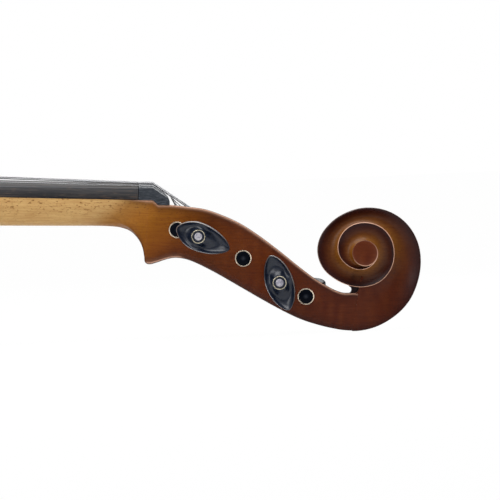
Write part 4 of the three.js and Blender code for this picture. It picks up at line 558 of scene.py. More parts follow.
# Painted highlight: the pale rim of the eye is brighter on one side, as where the light falls.
facing_light = np.clip(0.7 - 0.4 * np.sin(np.arange(64) * math.pi / 32 - 0.6), 0.1, 1)
eye_wear_and_highlight = np.concatenate([w * facing_light for w in (0, 0.3, 1, 0.9, 0, 0, 0.9, 1, 0.3, 0)])
eye = raw_object("eye", eye_verts + [EYE_X, 0, EYE_Z], eye_faces, {
    "wear": eye_wear_and_highlight, "glow": np.zeros(1), "rim": np.zeros(1)})
notch = np.radians(np.linspace(-105, 75, 13))
throat_end = np.vstack([[[100.2, -47.5]],
                        np.stack([101 + 1.9 * np.cos(notch), -42.9 + 1.9 * np.sin(notch)], -1),
                        [[102.2, -39.8], [106.6, -40.4], [106.9, -47.5]]])
throat = prism("throat", throat_end, lambda x: np.full(len(x), 6.4))
lip_line = np.array([[103.2, -45.4], [104.6, -44.5], [105.7, -43.6], [106.6, -42.2], [107.4, -41.8],
                     [107.6, -46]])
lip = prism("lip", lip_line, lambda x: np.full(len(x), 9.4))
# Painted shade: the throat block is dark all over, standing for the shaded recess at the end of the pegbox's
# hollow.
throat.data.attributes.new("rim", "FLOAT", "POINT").data.foreach_set(
    "value", np.ones(2 * len(throat_end), np.float32))
neck_piece = merged("neck_and_scroll", neck_body, *turns, eye, throat, lip)


def paint(red, green, blue):
    """A colour as a paint chart gives it, 0 to 255, turned into light."""
    return tuple(((c / 255 + 0.055) / 1.055) ** 2.4 if c > 10 else c / 255 / 12.92
                 for c in (red, green, blue)) + (1.0,)


def group(name, inputs, outputs):
    """An empty shader group with its sockets, and its inlet and outlet nodes."""
    tree = bpy.data.node_groups.new(name, "ShaderNodeTree")
    for key, kind, value in inputs:
        socket = tree.interface.new_socket(key, in_out="INPUT", socket_type=kind)
        socket.default_value = value
    for key, kind in outputs:
        tree.interface.new_socket(key, in_out="OUTPUT", socket_type=kind)
    return tree, tree.nodes.new("NodeGroupInput"), tree.nodes.new("NodeGroupOutput")


FLOAT, VECTOR, COLOUR = "NodeSocketFloat", "NodeSocketVector", "NodeSocketColor"


def faded(tree, value, low, high, start=0.0, end=1.0):
    """A value that runs smoothly from start to end while the input runs from low to high."""
    return node(tree, "ShaderNodeMapRange", {
        "Value": value, "From Min": low, "From Max": high, "To Min": start, "To Max": end},
        interpolation_type="SMOOTHSTEP").outputs[0]


def blended(tree, share, a, b, kind="MIX"):
    made = node(tree, "ShaderNodeMix", {"Factor": share, 6: a, 7: b}, data_type="RGBA", blend_type=kind)
    return made.outputs[2]


def noise(tree, place, scale, detail, roughness=0.5):
    return node(tree, "ShaderNodeTexNoise", {
        "Vector": place, "Scale": scale, "Detail": detail, "Roughness": roughness}).outputs["Fac"]


def vector_math(tree, kind, a, b):
    return node(tree, "ShaderNodeVectorMath", {0: a, 1: b}, operation=kind).outputs[0]


def split(tree, place):
    return node(tree, "ShaderNodeSeparateXYZ", {0: place}).outputs


def combined(tree, x, y, z):
    return node(tree, "ShaderNodeCombineXYZ", {0: x, 1: y, 2: z}).outputs[0]


# Wood fibres: long thin streaks along x of the place that is fed in, with short dark pores between them.
fibres, inlet, outlet = group("wood_fibres", [
    ("Place", VECTOR, (0, 0, 0)), ("Streak", FLOAT, 2.2), ("Length", FLOAT, 0.05), ("Pores", FLOAT, 1.6),
    ("Pore Length", FLOAT, 0.35)], [("Streaks", FLOAT), ("Pores", FLOAT)])
fed = inlet.outputs
streak_place = vector_math(fibres, "MULTIPLY", fed["Place"], combined(fibres, fed["Length"], 1.0, 1.0))
pore_place = vector_math(fibres, "MULTIPLY", fed["Place"], combined(fibres, fed["Pore Length"], 1.0, 1.0))
fibres.links.new(noise(fibres, streak_place, fed["Streak"], 5.0, 0.62), outlet.inputs["Streaks"])
fibres.links.new(faded(fibres, noise(fibres, pore_place, fed["Pores"], 1.5), 0.56, 0.7),
                 outlet.inputs["Pores"])

# Maple's flame: bands across the fibres that change from light to dark and back, bent by a slow drift.
flame, inlet, outlet = group("maple_flame", [
    ("Place", VECTOR, (0, 0, 0)), ("Spacing", FLOAT, 9.0), ("Drift", FLOAT, 3.0)], [("Flame", FLOAT)])
fed = inlet.outputs
leaned = math_node(flame, "MULTIPLY_ADD", noise(flame, fed["Place"], 0.035, 2.0), math_node(
    flame, "MULTIPLY", fed["Drift"], fed["Spacing"]), split(flame, fed["Place"])["X"])
phase = math_node(flame, "DIVIDE", leaned, fed["Spacing"])
wave = math_node(flame, "SINE", math_node(flame, "MULTIPLY", phase, 2 * math.pi))
patchy = faded(flame, noise(flame, fed["Place"], 0.11, 3.0), 0.38, 0.62)
band = math_node(flame, "MULTIPLY", wave, patchy)
flame.links.new(math_node(flame, "MULTIPLY_ADD", band, 0.5, 0.5), outlet.inputs["Flame"])


def object_place(tree):
    return node(tree, "ShaderNodeTexCoord").outputs["Object"]


def placed_in(tree, origin=neck_origin, tilt=slope):
    """The place on the wood, in millimetres, in the neck's frame or another one."""
    return node(tree, "ShaderNodeMapping", {
        "Vector": object_place(tree), "Location": tuple(origin * MM), "Rotation": (0, tilt, 0),
        "Scale": (MM, MM, MM)}, vector_type="TEXTURE").outputs[0]


def read(tree, name):
    return node(tree, "ShaderNodeAttribute", attribute_name=name).outputs["Fac"]


def bumped(tree, height, strength, distance):
    return node(tree, "ShaderNodeBump", {
        "Strength": strength, "Distance": distance, "Height": height}).outputs[0]


def surfaced(shader, colour, rough, bump=None):
    """Feeds a shader a colour, a value run to a roughness as by faded, and a height as by bumped."""
    tree = shader.id_data
    tree.links.new(colour, shader.inputs["Base Color"])
    tree.links.new(faded(tree, *rough), shader.inputs["Roughness"])
    if bump:
        tree.links.new(bumped(tree, *bump), shader.inputs["Normal"])


def new_look(name, **constants):
    """A material with its Principled shader, whose constants are set on the shader's own sockets."""
    look = bpy.data.materials.new(name)
    look.use_nodes = True
    shader = look.node_tree.nodes["Principled BSDF"]
    for key, value in constants.items():
        shader.inputs[key.replace("_", " ")].default_value = value
    return look, look.node_tree, shader


def placed_group(tree, made, **inputs):
    placed = tree.nodes.new("ShaderNodeGroup")
    placed.node_tree = made
    for key, value in inputs.items():
        socket = placed.inputs[key.replace("_", " ")]
        if isinstance(value, bpy.types.NodeSocket):
            tree.links.new(value, socket)
        else:
            socket.default_value = value
    return placed


def fibred(tree, place, streak, length, pores, pore_length):
    made = placed_group(tree, fibres, Place=place, Streak=streak, Length=length, Pores=pores,
                        Pore_Length=pore_length)
    return made.outputs["Streaks"], made.outputs["Pores"]


def times(tree, a, b):
    return math_node(tree, "MULTIPLY", a, b)


# The head's finish: bare oiled maple along the neck, amber varnish from the nut on, red brown over the pegbox
# and dark at the rim of the scroll; the colour also darkens lower down on the head, as painted shade. In each
# turn of the scroll painted shade darkens the hollow towards its outer edge and a painted highlight lightens
# it in amber near the next turn. Each worn edge shows pale, partly as a painted highlight, and so does the
# wood round each peg's end.
head_look, tree, shader = new_look("head_varnish", Coat_Roughness=0.2, IOR=1.45, Specular_IOR_Level=0.11)
place = placed_in(tree)
along, above = split(tree, place)["X"], split(tree, place)["Z"]
grain, pores = fibred(tree, place, 1.3, 0.06, 1.45, 0.5)
curl = placed_group(tree, flame, Place=place, Spacing=7.5, Drift=2.2).outputs["Flame"]
# Painted shade: the ramp also runs darker lower down on the head, as if lit from above.
along_with_painted_shade = math_node(tree, "MULTIPLY_ADD", above, -1.2, along)
to_ramp = node(tree, "ShaderNodeMapRange", {"Value": along_with_painted_shade, "From Min": -24.0, "From Max": 150.0})
ramp = node(tree, "ShaderNodeValToRGB", {"Fac": to_ramp.outputs[0]})
stops = [(0.0, (182, 149, 96)), (0.05, (174, 141, 90)), (0.105, (143, 101, 47)), (0.17, (140, 90, 28)),
         (0.235, (122, 73, 10)), (0.33, (106, 57, 7)), (0.39, (82, 37, 4)), (0.5, (86, 38, 3)),
         (0.72, (81, 31, 3)),
         (1.0, (70, 24, 4))]
for element, (_, colour) in zip(ramp.color_ramp.elements, (stops[0], stops[-1])):
    element.color = paint(*colour)
for at, colour in stops[1:-1]:
    ramp.color_ramp.elements.new(at).color = paint(*colour)
varnished = faded(tree, along, -18, 12)
tone = blended(tree, times(tree, curl, 0.1), ramp.outputs[0], paint(140, 78, 30))
# Painted highlight in amber on the scroll's hollows.
tone = blended(tree, read(tree, "glow"), tone, paint(124, 78, 20))
# The dark rim of the scroll and pegbox, with painted shade in the scroll's hollows and on the throat.
tone = blended(tree, times(tree, read(tree, "rim"), 0.95), tone, paint(26, 6, 10))
tone = blended(tree, faded(tree, grain, 0.3, 0.75, 0.0, 0.45), tone, paint(186, 144, 112), "MULTIPLY")
near_board = times(tree, faded(tree, above, -10, -1), faded(tree, along, 14, -2))
flecks = times(tree, pores, math_node(tree, "MULTIPLY_ADD", near_board, 0.6, 0.3))
flecks = times(tree, flecks, faded(tree, varnished, 1, 0, 0.95, 1.0))
fleck_tone = blended(tree, varnished, paint(104, 66, 34), paint(48, 18, 6))
tone = blended(tree, flecks, tone, fleck_tone)
# Pale worn edges, partly painted highlight.
edge = math_node(tree, "POWER", read(tree, "wear"), 2.6)
tone = blended(tree, times(tree, edge, 0.8), tone, paint(206, 160, 134))
ring = None
for letter, (x, z, side, angle) in PEGS.items():
    flat = vector_math(tree, "MULTIPLY", vector_math(tree, "SUBTRACT", place, (x, 0, z)), (1, 0, 1))
    radius = node(tree, "ShaderNodeVectorMath", {0: flat}, operation="LENGTH").outputs["Value"]
    ring = radius if ring is None else math_node(tree, "MINIMUM", ring, radius)
bare = faded(tree, ring, 4.12, 4.04)
tone = blended(tree, bare, tone, paint(250, 232, 208))
tree.links.new(times(tree, varnished, faded(tree, bare, 1, 0, 0, 0.08)), shader.inputs["Coat Weight"])
grain_height = math_node(tree, "MULTIPLY_ADD", pores, -0.5, grain)
surfaced(shader, tone, (varnished, 0, 1, 0.52, 0.34), (grain_height, 0.16, 0.0002))
finished(neck_piece, from_neck, "viola", head_look, ["neck_scroll"], 32)

# Pegs: turned from dark wood that is stained blue black. Each has a tapered shaft, a round collar and a head
# whose lens-shaped end is hollowed on either side of its eye, a pearl dot inside a thin pale ring.
peg_look, tree, shader = new_look("peg_ebony", IOR=1.5)
millimetres = vector_math(tree, "MULTIPLY", object_place(tree), (1000.0, 1000.0, 1000.0))
turned_place = node(tree, "ShaderNodeMapping",
                    {"Vector": millimetres, "Rotation": (0, 0, math.pi / 2)}).outputs[0]
grain, pores = fibred(tree, turned_place, 1.6, 0.12, 2.2, 0.15)
tone = blended(tree, faded(tree, grain, 0.3, 0.75), paint(9, 15, 29), paint(15, 24, 39))
tone = blended(tree, times(tree, pores, 0.3), tone, paint(8, 10, 14))
# Painted highlight: the pale line on the rim of each head's end.
tone = blended(tree, times(tree, read(tree, "wear"), 0.75), tone, paint(150, 136, 126))
# Painted shade: the shafts and tips, and the whole head of the d peg, are darkened, and they reflect less.
tone = blended(tree, times(tree, read(tree, "dull"), 0.8), tone, paint(4, 5, 8))
tree.links.new(faded(tree, read(tree, "dull"), 0, 1, 0.34, 0.03), shader.inputs["Specular IOR Level"])
surfaced(shader, tone, (grain, 0.3, 0.8, 0.275, 0.29), (grain, 0.03, 0.00005))

ring_look, tree, shader = new_look("eye_ring_metal", Metallic=1.0)
rubbed = noise(tree, object_place(tree), 900.0, 4.0)
tone = blended(tree, rubbed, paint(176, 166, 140), paint(222, 214, 192))
surfaced(shader, tone, (rubbed, 0.3, 0.7, 0.25, 0.5))

pearl_look, tree, shader = new_look("eye_pearl", IOR=1.6, Coat_Roughness=0.08)
cloud = node(tree, "ShaderNodeTexNoise",
             {"Vector": object_place(tree), "Scale": 420.0, "Detail": 3.0, "Distortion": 1.4})
sheen = node(tree, "ShaderNodeValToRGB", {"Fac": cloud.outputs["Fac"]})
sheen.color_ramp.elements[0].position, sheen.color_ramp.elements[1].position = 0.3, 0.7
sheen.color_ramp.elements[0].color, sheen.color_ramp.elements[1].color = paint(98, 96, 108), paint(156, 154,
                                                                                                   156)
sheen.color_ramp.elements.new(0.5).color = paint(128, 125, 136)
surfaced(shader, sheen.outputs[0], (cloud.outputs["Fac"], 0.3, 0.7, 0.2, 0.34))
shader.inputs["Coat Weight"].default_value = 0.5

HEAD_LONG, HALF_SPAN, HALF_THICK, COLLAR_RADIUS, COLLAR_LONG = 25.0, 14.25, 7.0, 6.2, 2.6
BOSS_RADIUS, DISH_DEPTH, INLAY_FLOOR, RING_SIDES = 3.85, 2.3, 0.9, 64
head_form = np.array([  # place along the head, half its span, half its thickness, as shares
    [0.0, 0.31, 0.5], [0.1, 0.36, 0.56], [0.22, 0.48, 0.5], [0.35, 0.66, 0.48], [0.62, 0.93, 0.66],
    [0.84, 1, 1],
    [0.93, 1, 1], [1, 0.985, 0.955]])
round_about = np.linspace(0, 2 * math.pi, 96, endpoint=False)


def lens(span, thick, ends):
    """The pointed oval of a peg's head, from its sizes along and across and a share for each end."""
    along = np.cos(round_about)
    across = np.sign(np.sin(round_about)) * (1 - along ** 2) ** 0.7
    tip = 0.5 * np.abs(np.sin(round_about)) ** 0.3 * np.sign(np.sin(round_about))
    return np.stack([along * span * np.where(along > 0, *ends), across * (thick - 0.5) + tip], -1)


def peg_pieces(half, shares, head_dull_and_shaded):
    tip_end, collar = -half - 0.6, half + 4
    start = collar + COLLAR_LONG
    face = start + HEAD_LONG
    circle = np.stack([np.cos(round_about), np.sin(round_about)], -1)
    loops = []

    def loop(flat, y, worn_and_lit=0.0, dull=0.0):
        y, count = np.broadcast_to(y, len(flat)), len(flat)
        loops.append((np.stack([flat[:, 0], y, flat[:, 1]], -1), np.full(count, worn_and_lit), np.full(count, dull)))

    for radius, y in ((1.6, tip_end), (3.2, tip_end), (3.38, tip_end + 0.08), (3.46, tip_end + 0.3),
                      (3.8, 0), (4.1, half), (4.4, collar - 0.5), (4.5, collar - 0.1), (5.6, collar + 0.05),
                      (6.05, collar + 0.45), (COLLAR_RADIUS, collar + 1.3), (6.05, collar + 2.15),
                      (5.5, collar + 2.55)):
        loop(circle * radius, y, 0, float(y < half))
    for place in np.linspace(0.02, 1, 26):
        _, span, thick = (np.interp(place, head_form[:, 0], column) for column in head_form.T)
        ends = smooth_table(head_form[:, 0], head_form[:, 1:], [place])[0]
        round_share = max(0.0, 1 - place / 0.2)
        oval = lens(ends[0] * HALF_SPAN, ends[1] * HALF_THICK, shares)
        loop(lerp(oval, circle * 4.3, round_share), start + min(place, 0.99) * HEAD_LONG, 0, head_dull_and_shaded)
    oval = lens(head_form[-1, 1] * HALF_SPAN, head_form[-1, 2] * HALF_THICK, shares)
    # Painted highlight: the pale line on the rim of the head's end, brighter on the side where the light
    # falls.
    lit = np.clip(0.35 + 0.65 * np.cos(round_about - 0.9), 0, 1)
    for inset, drop, worn_and_lit in ((0.0, 0.1, 0), (0.06, 0.02, lit), (0.2, 0.02, lit), (0.26, 0.08, 0)):
        rim = oval * (1 - inset / np.linalg.norm(oval, axis=1, keepdims=True))
        loop(rim, face - drop, worn_and_lit)
    boss = circle * BOSS_RADIUS
    room = np.linalg.norm(rim - boss, axis=1)
    depth = DISH_DEPTH * smoothstep(room, 0.6, 6.5)
    for share in np.linspace(0.06, 1, 14):
        dish = depth * np.sin(math.pi * share) ** 0.75 if share < 1 else 0
        loop(lerp(rim, boss, share), face - dish - 0.05)
    for radius, drop in (
            (3.55, 0.0), (3.53, INLAY_FLOOR), (2.87, INLAY_FLOOR), (2.85, 0.02), (2.05, 0.02),
            (2.03, INLAY_FLOOR),
            (0.8, INLAY_FLOOR)):
        loop(circle * radius, face - 0.05 - drop)
    peg = skin([line for line, _, _ in loops]), *(np.concatenate(each) for each in list(zip(*loops))[1:])
    ring = turned([[3.0, face - 0.88], [3.0, face - 0.12], [3.06, face - 0.02], [3.2, face],
                   [3.34, face - 0.02],
                   [3.4, face - 0.12], [3.4, face - 0.88]], RING_SIDES)
    dot = turned([[1.9, face - 0.88], [1.9, face - 0.12], [1.78, face - 0.03], [1.2, face], [0.5, face]], 48)
    return peg, ring, dot


for letter, (x, z, side, angle) in PEGS.items():
    turn = turned_by(math.radians(angle)) @ np.diag([side, side, 1])

    def from_peg(points, turn=turn, x=x, z=z):
        return from_neck(np.asarray(points) @ turn.T + [x, 0, z])

    (peg_skin, peg_wear_and_highlight, peg_dull_and_shaded), ring_form, dot_form = peg_pieces(
        float(pegbox_half(x)), {"e": (0.82, 1.17), "d": (0.85, 1)}.get(letter, (1, 1)), float(letter == "d"))
    peg = raw_object(f"peg_{letter}_turned", *peg_skin, {"wear": peg_wear_and_highlight, "dull": peg_dull_and_shaded})
    finished(peg, from_peg, f"peg_{letter}", peg_look, [f"peg_{letter}"], 50)
    ring_verts, ring_faces = ring_form
    ring_faces = [f for f in ring_faces if len(f) == 4] + [  # no caps, but a wall that closes the ring inside
        [i, (i + 1) % RING_SIDES, 6 * RING_SIDES + (i + 1) % RING_SIDES,
         6 * RING_SIDES + i] for i in range(RING_SIDES)]
    ring_piece = raw_object(f"peg_{letter}_ring", ring_verts[:7 * RING_SIDES], ring_faces)
    finished(ring_piece, from_peg, f"peg_{letter}", ring_look, [f"peg_{letter}_eye_ring"], 40)
    dot_piece = raw_object(f"peg_{letter}_dot", *dot_form)
    finished(dot_piece, from_peg, f"peg_{letter}", pearl_look, [f"peg_{letter}_eye_dot"], 40)

# Fingerboard: a long strip of dark wood, arched across and hollowed under its free end. It is glued to the
# neck; its sides show brown streaks, and its top edges a pale line that is partly rubbed wear and partly
# painted highlight.
board_look, tree, shader = new_look("board_ebony", Specular_IOR_Level=0.12, IOR=1.45)
place = placed_in(tree)
grain, pores = fibred(tree, place, 1.1, 0.03, 1.7, 0.12)
tone = blended(tree, faded(tree, grain, 0.38, 0.66), paint(18, 18, 21), paint(50, 46, 44))
tone = blended(tree, times(tree, pores, 0.5), tone, paint(74, 58, 46))
# Pale line along the top edges: rubbed wear and painted highlight.
tone = blended(tree, times(tree, read(tree, "wear"), 0.4), tone, paint(120, 120, 122))
surfaced(shader, tone, (grain, 0.3, 0.8, 0.42, 0.6), (grain, 0.2, 0.0001))
BOARD_LENGTH, BOARD_ARCH, BOARD_HOLLOW = 297.0, 40.0, 4.5
NUT_LEAD = 4.5  # the board ends here, ahead of the frame's zero


def sagitta(radius, half):
    return radius - np.sqrt(radius ** 2 - np.asarray(half, float) ** 2)


def board_height(x):
    return lerp(8.2, 9.6, -x / BOARD_LENGTH)


rings, wear_and_highlight_rows = [], []
across = np.linspace(-1, 1, 33)
for share in np.concatenate([[0, 0.001], np.linspace(0.012, 0.988, 70), [0.999, 1]]):
    x = -lerp(NUT_LEAD, BOARD_LENGTH, share)
    half, top = float(board_half(x)), float(board_height(x))
    inset = 0.3 if 0 < share < 1 else 0.45
    y = across * (half - 0.35)
    z = top - sagitta(BOARD_ARCH, y) - (0 if 0 < share < 1 else 0.25)
    hollow = BOARD_HOLLOW * float(smoothstep(share, 0.505, 0.53))
    side = float(z[0])
    upper = np.stack([np.full(33, x), y, z], -1)
    edge = [[x, half, side - 0.4], [x, half, 0.2], [x, half - 0.15, 0.04]]
    under_y = np.linspace(0.86, -0.86, 25) * half
    under = np.stack([np.full(25, x), under_y,
                      0.04 + hollow * np.cos(under_y / half / 0.87 * math.pi / 2) ** 0.7], -1)
    other = [[x, -half + 0.15, 0.04], [x, -half, 0.2], [x, -half, side - 0.4]]
    rings.append(np.vstack([upper, edge, under, other]))
    wear_and_highlight_rows.append(np.concatenate([[0.9], np.zeros(31), [0.9], [0.5, 0, 0], np.zeros(25), [0, 0, 0.5]]))
board = raw_object("fingerboard_arched", *skin(rings), {"wear": np.concatenate(wear_and_highlight_rows)})
finished(board, from_neck, "viola", board_look, ["fingerboard"], 40)

# Nut: the dark block that spaces the strings. It is glued at the end of the board, rounded down towards the
# pegs, with a filed groove for each string and fine scratches from the file.
NUT_HALF, NUT_HEIGHT, NUT_SPREAD = 13.2, 8.3, 10.0
STRINGS = {  # diameter, peg, place on the peg, way of winding, turns; from the treble side
    "e": (0.4, "e", -2.2, -1, 4), "a": (0.75, "a", -1.6, -1, 3), "d": (0.85, "d", -1, 1, 3),
    "g": (0.95, "g", 1.4, 1, 3), "c": (1.2, "c", 1.2, 1, 3)}
STRING_SHARES = dict(zip(STRINGS, (-1, -0.5, 0, 0.5, 1)))
nut_look, tree, shader = new_look("nut_ebony", Specular_IOR_Level=0.25, IOR=1.45)
place = placed_in(tree)
scratched = node(tree, "ShaderNodeMapping",
                 {"Vector": place, "Rotation": (0, 0.7, 0), "Scale": (0.25, 1, 3.2)}).outputs[0]
scratches = noise(tree, scratched, 1.3, 6.0, 0.7)
tone = blended(tree, faded(tree, scratches, 0.42, 0.62), paint(24, 28, 34), paint(62, 66, 72))
tone = blended(tree, faded(tree, scratches, 0.6, 0.7, 0, 0.5), tone, paint(96, 102, 108))
surfaced(shader, tone, (scratches, 0.35, 0.7, 0.34, 0.55), (scratches, 0.25, 0.0001))
top_line = through([[-4.2, NUT_HEIGHT], [-1.0, NUT_HEIGHT], [2.6, NUT_HEIGHT], [4.33, 6.97], [7.07, 4.65],
                    [9.92, 2.24], [11.0, -0.415],
                    [11.1, -2.22]], 0.3)
top_line[:, 1] = np.minimum(top_line[:, 1], NUT_HEIGHT)
foot_line = np.array([[11.1, -2.22], [5.6, -2.22], [3.0, 0.04], [-4.2, 0.04]])
rows = []
for y in np.linspace(-1, 1, 121) * (NUT_HALF - 0.02):
    drop = float(sagitta(BOARD_ARCH, y)) + 0.3 * float(smoothstep(abs(y), NUT_HALF - 0.45, NUT_HALF))
    groove = sum(0.34 * math.exp(-((y - share * NUT_SPREAD) / (0.32 + STRINGS[s][0] * 0.45)) ** 4)
                 for s, share in STRING_SHARES.items())
    z = top_line[:, 1]
    upper = z - drop * np.clip(z / NUT_HEIGHT, 0, 1) - groove * smoothstep(z, 2.0, 6.5)
    rows.append(np.vstack([np.stack([top_line[:, 0], np.full(len(z), y), upper], -1),
                           np.stack([foot_line[1:, 0], np.full(3, y), foot_line[1:, 1]], -1)]))
nut = raw_object("nut_filed", *skin(rows))
finished(nut, from_neck, "viola", nut_look, ["nut"], 30)

# Belly and back: two arched plates, spruce above and maple below, carved from a thick edge up to a high line
# along the middle. A hollow runs inside the edge, with a black, white and black line let into the wood. Two
# long sound holes are cut through the belly.
BODY_LENGTH, PLATE_EDGE, PLATE_THICKNESS, RIB_HEIGHT, CHANNEL_INSET = 406.0, 4.2, 3.6, 38.0, 5.5
UPPER_HALF, WAIST_HALF, LOWER_HALF, UPPER_TIP, LOWER_TIP = 95.0, 65.0, 118.0, 88.0, 106.0
BRIDGE_STOP, BELLY_ARCH, BACK_ARCH, SMOOTHINGS = 222.0, 16.0, 15.42, 24


def bend(start, pull_start, pull_end, end, count):
    t = np.linspace(0, 1, count + 1)[:, None]
    start, pull_start, pull_end, end = (
        np.array([share * BODY_LENGTH, y]) for share, y in (start, pull_start, pull_end, end))
    return (start * (1 - t) ** 3 + 3 * pull_start * t * (1 - t) ** 2 + 3 * pull_end * t ** 2 * (1 - t)
            + end * t ** 3)


def round_end(half, fullness, count):
    turn = np.linspace(0, math.pi / 2, count + 1)
    return np.stack([0.2 * BODY_LENGTH * (1 - np.cos(turn) ** (2 / fullness)),
                     half * np.sin(turn) ** (2 / fullness)], -1)


bottom = round_end(LOWER_HALF, 2.3, 70)[::-1][1:]
upper_curve = np.vstack([
    round_end(UPPER_HALF, 2.25, 60),
    bend((0.2, UPPER_HALF), (0.285, UPPER_HALF), (0.325, 0.83 * UPPER_HALF), (0.35, UPPER_TIP), 36)[1:]])
waist_curve = np.vstack([
    bend((0.37, UPPER_TIP), (0.377, 0.8 * UPPER_TIP), (0.4, WAIST_HALF), (0.455, WAIST_HALF), 30),
    bend((0.455, WAIST_HALF), (0.52, WAIST_HALF), (0.59, 1.22 * WAIST_HALF), (0.6, LOWER_TIP), 36)[1:]])
lower_curve = np.vstack([
    bend((0.62, LOWER_TIP), (0.645, 0.88 * LOWER_TIP), (0.72, LOWER_HALF), (0.8, LOWER_HALF), 40),
    np.stack([BODY_LENGTH - bottom[:, 0], bottom[:, 1]], -1)])
outline = np.vstack([upper_curve, np.linspace(upper_curve[-1], waist_curve[0], 5)[1:-1], waist_curve,
                     np.linspace(waist_curve[-1], lower_curve[0], 5)[1:-1], lower_curve])
EDGE = np.array([[0, 2.9], [0.15, 3.5], [0.5, 3.95], [1.0, 4.18], [1.7, 4.2], [2.6, 4.12], [3.5, 3.85],
                 [3.9, 3.76], [4.3, 3.68], [4.7, 3.6], [5.1, 3.54]])


def arch_height(line, spine_share, arch):
    crown = lerp(arch, PLATE_EDGE, 0.42 * abs(2 * spine_share - 1) ** 2.4)
    return lerp(PLATE_EDGE - 0.7, crown, np.sin(math.pi / 2 * np.asarray(line)) ** 1.5)


def plate(name, arch, turned_over):
    rings, insets = [], []
    lines, inner_lines = np.linspace(0, 1, 22), np.linspace(1, 0, 9)
    for x, y in outline:
        spine_share = lerp(0.14, 0.86, x / BODY_LENGTH)
        spine_x = spine_share * BODY_LENGTH
        reach = math.hypot(spine_x - x, y)
        outer = np.concatenate([EDGE[:, 0], lerp(CHANNEL_INSET, reach, lines)])
        outer_z = np.concatenate([EDGE[:, 1], arch_height(lines, spine_share, arch)])
        inner = lerp(12.0, reach, inner_lines)
        shares = np.clip((inner - CHANNEL_INSET) / (reach - CHANNEL_INSET), 0, 1)
        inner_z = np.maximum(arch_height(shares, spine_share, arch) - PLATE_THICKNESS, 0)
        inner_z[-1] = 0
        inner, inner_z = np.concatenate([inner, [1.3, 0]]), np.concatenate([inner_z, [0, 0.65]])
        sides = []
        for side in (1, -1):
            for inset, z in ((outer, outer_z), (inner, inner_z)):
                share = inset / reach
                sides.append(np.stack([-lerp(x, spine_x, share), side * lerp(y, 0, share), z], -1))
        rings.append(np.vstack([sides[0], sides[2][-2::-1], sides[3][::-1], sides[1][1:]]))
        insets.append(np.concatenate([outer, outer[-2::-1], np.full(2 * len(inner) - 1, 200.0)]))
    verts, faces = skin(rings, False)
    flat = verts[:, :2] * [-1, 1]
    both = np.vstack([outline, outline * [1, -1]])
    from_edge = np.concatenate([np.linalg.norm(part[:, None] - both[None], axis=2).min(axis=1)
                                for part in np.array_split(flat, 40)])
    made = raw_object(name, verts, faces, {"inset": np.concatenate(insets), "from_edge": from_edge})
    shape = bmesh.new()
    shape.from_mesh(made.data)
    bmesh.ops.remove_doubles(shape, verts=shape.verts, dist=0.003)
    bmesh.ops.dissolve_degenerate(shape, edges=shape.edges, dist=0.001)
    how_far = shape.verts.layers.float["inset"]
    arched = [v for v in shape.verts if 9 < v[how_far] < 150]
    for _ in range(SMOOTHINGS):
        bmesh.ops.smooth_vert(shape, verts=arched, factor=0.5, use_axis_z=True)
    if turned_over:
        bmesh.ops.scale(shape, vec=(1, 1, -1), verts=shape.verts)
        bmesh.ops.translate(shape, vec=(0, 0, -RIB_HEIGHT), verts=shape.verts)
    bmesh.ops.recalc_face_normals(shape, faces=shape.faces)
    shape.to_mesh(made.data)
    shape.free()
    return made


def upright(name, line, low, high):
    """An upright block over a closed flat line."""
    return between(name,
                   *(np.column_stack([np.asarray(line, float), np.full(len(line), z)]) for z in (low, high)))


def box(low, high):
    return upright("box", [low[:2], [high[0], low[1]], high[:2], [low[0], high[1]]], low[2], high[2])


def circle_line(centre, radius):
    turn = round_about[::2]
    return np.asarray(centre) + radius * np.stack([np.cos(turn), np.sin(turn)], -1)


# A sound hole is an S-shaped slot that swells in the middle, where it is nicked, between two round eyes.
SLOT = [[0.8, 0], [0.96, 0.1], [0.98, 0.26], [0.84, 0.39], [0.5, 0.46], [0, 0.5], [-0.5, 0.54], [-0.84, 0.61],
        [-0.98, 0.74], [-0.96, 0.9], [-0.8, 1]]


def sound_hole(side):
    centre = np.array([[40 * a - BRIDGE_STOP, side * lerp(26, 54, b)] for a, b in SLOT])
    line = through(centre, 1.0)
    run = np.gradient(line, axis=0)
    run /= np.linalg.norm(run, axis=1, keepdims=True)
    across = np.stack([-run[:, 1], run[:, 0]], -1)
    half = lerp(2.6, 5.8, np.sin(math.pi * np.linspace(0, 1, len(line))))[:, None] / 2
    middle = len(line) // 2
    nick = [line[middle] + run[middle] * a + across[middle] * b for a,
            b in ((-1.6, 0), (0, 4.3), (1.6, 0), (0, -4.3))]
    slot = np.vstack([line + across * half, (line - across * half)[::-1]])
    return [upright("slot", edge, -1, 24) for edge in (
        slot, nick, circle_line(centre[0], 4.0), circle_line(centre[-1], 5.25))]


# The shade of a plate: darker towards the edge, rubbed paler on the edge itself, with the inlaid line.
shaded, inlet, outlet = group("plate_shade", [
    ("Wood", COLOUR, (1, 1, 1, 1)), ("Inset", FLOAT, 40.0), ("From Edge", FLOAT, 40.0),
    ("Place", VECTOR, (0, 0, 0)),
    ("Edge Tone", COLOUR, paint(70, 26, 8))], [("Colour", COLOUR), ("Line", FLOAT)])
drift = noise(shaded, inlet.outputs["Place"], 0.013, 3.0)
from_edge = inlet.outputs["Inset"]
how_near = inlet.outputs["From Edge"]
shade = math_node(shaded, "ADD", faded(shaded, how_near, 40, 2, 0, 0.75),
                  faded(shaded, drift, 0.4, 0.6, -0.1, 0.15))
tone = blended(shaded, shade, inlet.outputs["Wood"], inlet.outputs["Edge Tone"])
tone = blended(shaded, faded(shaded, from_edge, 1.8, 0.3, 0, 0.5), tone, paint(140, 88, 46))
dark_line = math_node(shaded, "COMPARE", from_edge, 4.5, 0.62)
white_line = math_node(shaded, "COMPARE", from_edge, 4.5, 0.22)
tone = blended(shaded, math_node(shaded, "MULTIPLY", dark_line, 0.92), tone, paint(20, 13, 10))
